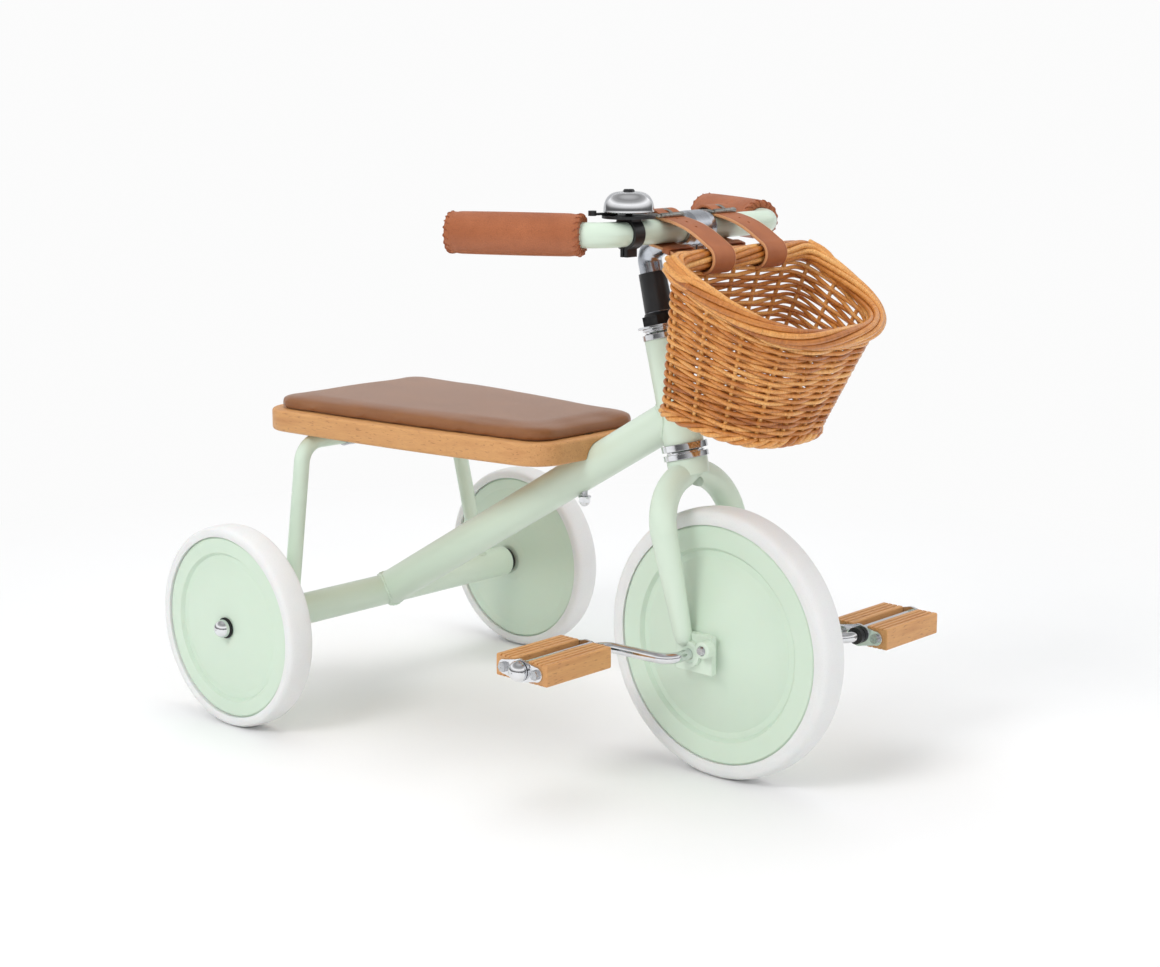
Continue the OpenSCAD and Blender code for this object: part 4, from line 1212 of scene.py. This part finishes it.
def build_welds():
    """Beads where the main tube meets the axle and head tubes, and at the feet of the seat hoop."""
    made = Builder()
    main = unit(MAIN_HEAD - AXLE)
    rear = meeting_line(AXLE, main, MAIN_TUBE_RADIUS, AXLE, LEFT, AXLE_TUBE_RADIUS)
    front = meeting_line(MAIN_HEAD, -main, MAIN_TUBE_RADIUS, MAIN_HEAD, STEER_AXIS, HEAD_TUBE_RADIUS)
    weld_bead(made, rear, 1.7 * MM, main)
    weld_bead(made, front, 1.6 * MM, main)
    hoop_top = corner("seat_board", 0)[2] - HOOP_RADIUS - 0.3 * MM
    rise = (hoop_top - AXLE[2]) / math.cos(HOOP_LEAN)
    up_hoop = np.array([-math.sin(HOOP_LEAN), 0, math.cos(HOOP_LEAN)])
    for side in (-1, 1):
        foot = AXLE + LEFT * side * HOOP_FOOT
        leg = unit(AXLE + LEFT * side * HOOP_SHOULDER + rise * up_hoop - foot)
        line = meeting_line(foot, leg, HOOP_RADIUS, AXLE, LEFT, AXLE_TUBE_RADIUS)
        weld_bead(made, line, 1.3 * MM, leg)
    made.piece("frame_welds", "frame", "frame_paint")


build_welds()


# ---------- floor, light and camera ----------

CAMERA_AZIMUTH = math.radians(42.49)
CAMERA_ELEVATION = math.radians(11.26)
CAMERA_PLACE = (1.3815, -1.4704, 0.6489)
CAMERA_LENS = 65.45
NEAR_WHITE = (0.97, 0.97, 0.97, 1)


def studio_floor():
    """A pale floor that sweeps up into a backdrop far behind."""
    verts, faces = [], []
    profile = [(-4.0, 0.0), (6.0, 0.0)]
    profile += [(6.0 + 3.0 * math.sin(a), 3.0 - 3.0 * math.cos(a))
                for a in np.linspace(0, math.pi / 2, 13)[1:]]
    profile += [(9.0, 8.0)]
    heading = np.array([-math.sin(CAMERA_AZIMUTH), math.cos(CAMERA_AZIMUTH), 0.0])
    across = np.array([math.cos(CAMERA_AZIMUTH), math.sin(CAMERA_AZIMUTH), 0.0])
    for away, height in profile:
        for side in (-9.0, 9.0):
            verts.append(heading * away + across * side + UP * height)
    for k in range(len(profile) - 1):
        faces.append((2 * k, 2 * k + 1, 2 * k + 3, 2 * k + 2))
    mesh = new_mesh("studio_floor", (verts, faces))
    mesh.shade_smooth()
    floor = new_object("studio_floor", mesh)
    s = Shader("studio_floor")
    speckle = s.noise(3, detail=3.0)
    s.finish(s.spread(speckle, 0.86, 0.88), 0.65)
    distance = s.node("VectorMath", {0: s.position}, output=1, operation="LENGTH")
    glow = s.node("Emission", {"Color": NEAR_WHITE})
    seen = s.node("LightPath", {})
    far = s.math("MULTIPLY", s.ramp(s.math("MULTIPLY", distance, 0.4), (0.22, 0.0), (0.5, 1.0)), seen)
    mixed = s.node("MixShader", {0: far, 1: s.surface.outputs[0], 2: glow})
    s.plug(s.tree.nodes["Material Output"], {"Surface": mixed})
    mesh.materials.append(s.material)


def studio_world():
    """White to the camera, even to matt surfaces, and banded to mirrors so that chrome has shape."""
    world = bpy.data.worlds.new("studio")
    bpy.context.scene.world = world
    world.use_nodes = True
    t = NodeTree(world.node_tree)
    t.tree.nodes.clear()
    height = t.node("SeparateXYZ", {0: t.node("TexCoord", {}, output="Generated")}, output="Z")
    height = t.node("Math", {0: height, 1: 0.5, 2: 0.5}, operation="MULTIPLY_ADD")
    bands = t.ramp(height, (0.0, 0.42), (0.42, 0.40), (0.49, 0.10), (0.55, 0.18), (0.63, 0.85),
                   (0.72, 1.25), (0.82, 0.5), (0.92, 0.34), (1.0, 0.6))
    even = t.node("Background", {"Color": (0.97, 0.985, 1.0, 1), "Strength": 0.76})
    mirror = t.node("Background", {"Color": bands})
    seen = t.node("Background", {"Color": NEAR_WHITE})
    to_glossy = t.node("LightPath", {}, output="Is Glossy Ray")
    to_camera = t.node("LightPath", {}, output="Is Camera Ray")
    lit = t.node("MixShader", {0: to_glossy, 1: even, 2: mirror})
    lit = t.node("MixShader", {0: to_camera, 1: lit, 2: seen})
    t.plug(t.tree.nodes.new("ShaderNodeOutputWorld"), {"Surface": lit})


def soft_box(name, place_at, aim, size, power):
    """A rectangular area light that leaves no glare on shiny parts."""
    light = bpy.data.lights.new(name, "AREA")
    light.shape = "RECTANGLE"
    light.size, light.size_y = size
    light.energy = power
    lamp = new_object(name, light)
    lamp.location = place_at
    lamp.visible_glossy = False
    lamp.rotation_mode = "QUATERNION"
    lamp.rotation_quaternion = (Vector(aim) - Vector(place_at)).to_track_quat("-Z", "Y")


def studio_camera():
    """The camera of the main view."""
    camera = bpy.data.cameras.new("camera")
    camera.lens = CAMERA_LENS
    camera.sensor_width = 36.0
    viewer = new_object("camera", camera)
    viewer.location = CAMERA_PLACE
    viewer.rotation_euler = (math.pi / 2 - CAMERA_ELEVATION, 0.0, CAMERA_AZIMUTH)
    bpy.context.scene.camera = viewer


studio_floor()
studio_world()
soft_box("key", (0.2, -2.6, 2.2), (0, 0, 0.25), (1.1, 0.9), 36)
soft_box("side", (2.8, 0.4, 1.5), (0.1, 0, 0.3), (1.2, 1.6), 14)
soft_box("top", (-0.2, 0.2, 3.0), (0, 0, 0.2), (2.2, 2.2), 26)
soft_box("back", (-2.4, 1.8, 1.8), (0, 0, 0.3), (1.4, 1.4), 12)
studio_camera()
bpy.context.scene.view_settings.view_transform = "Standard"
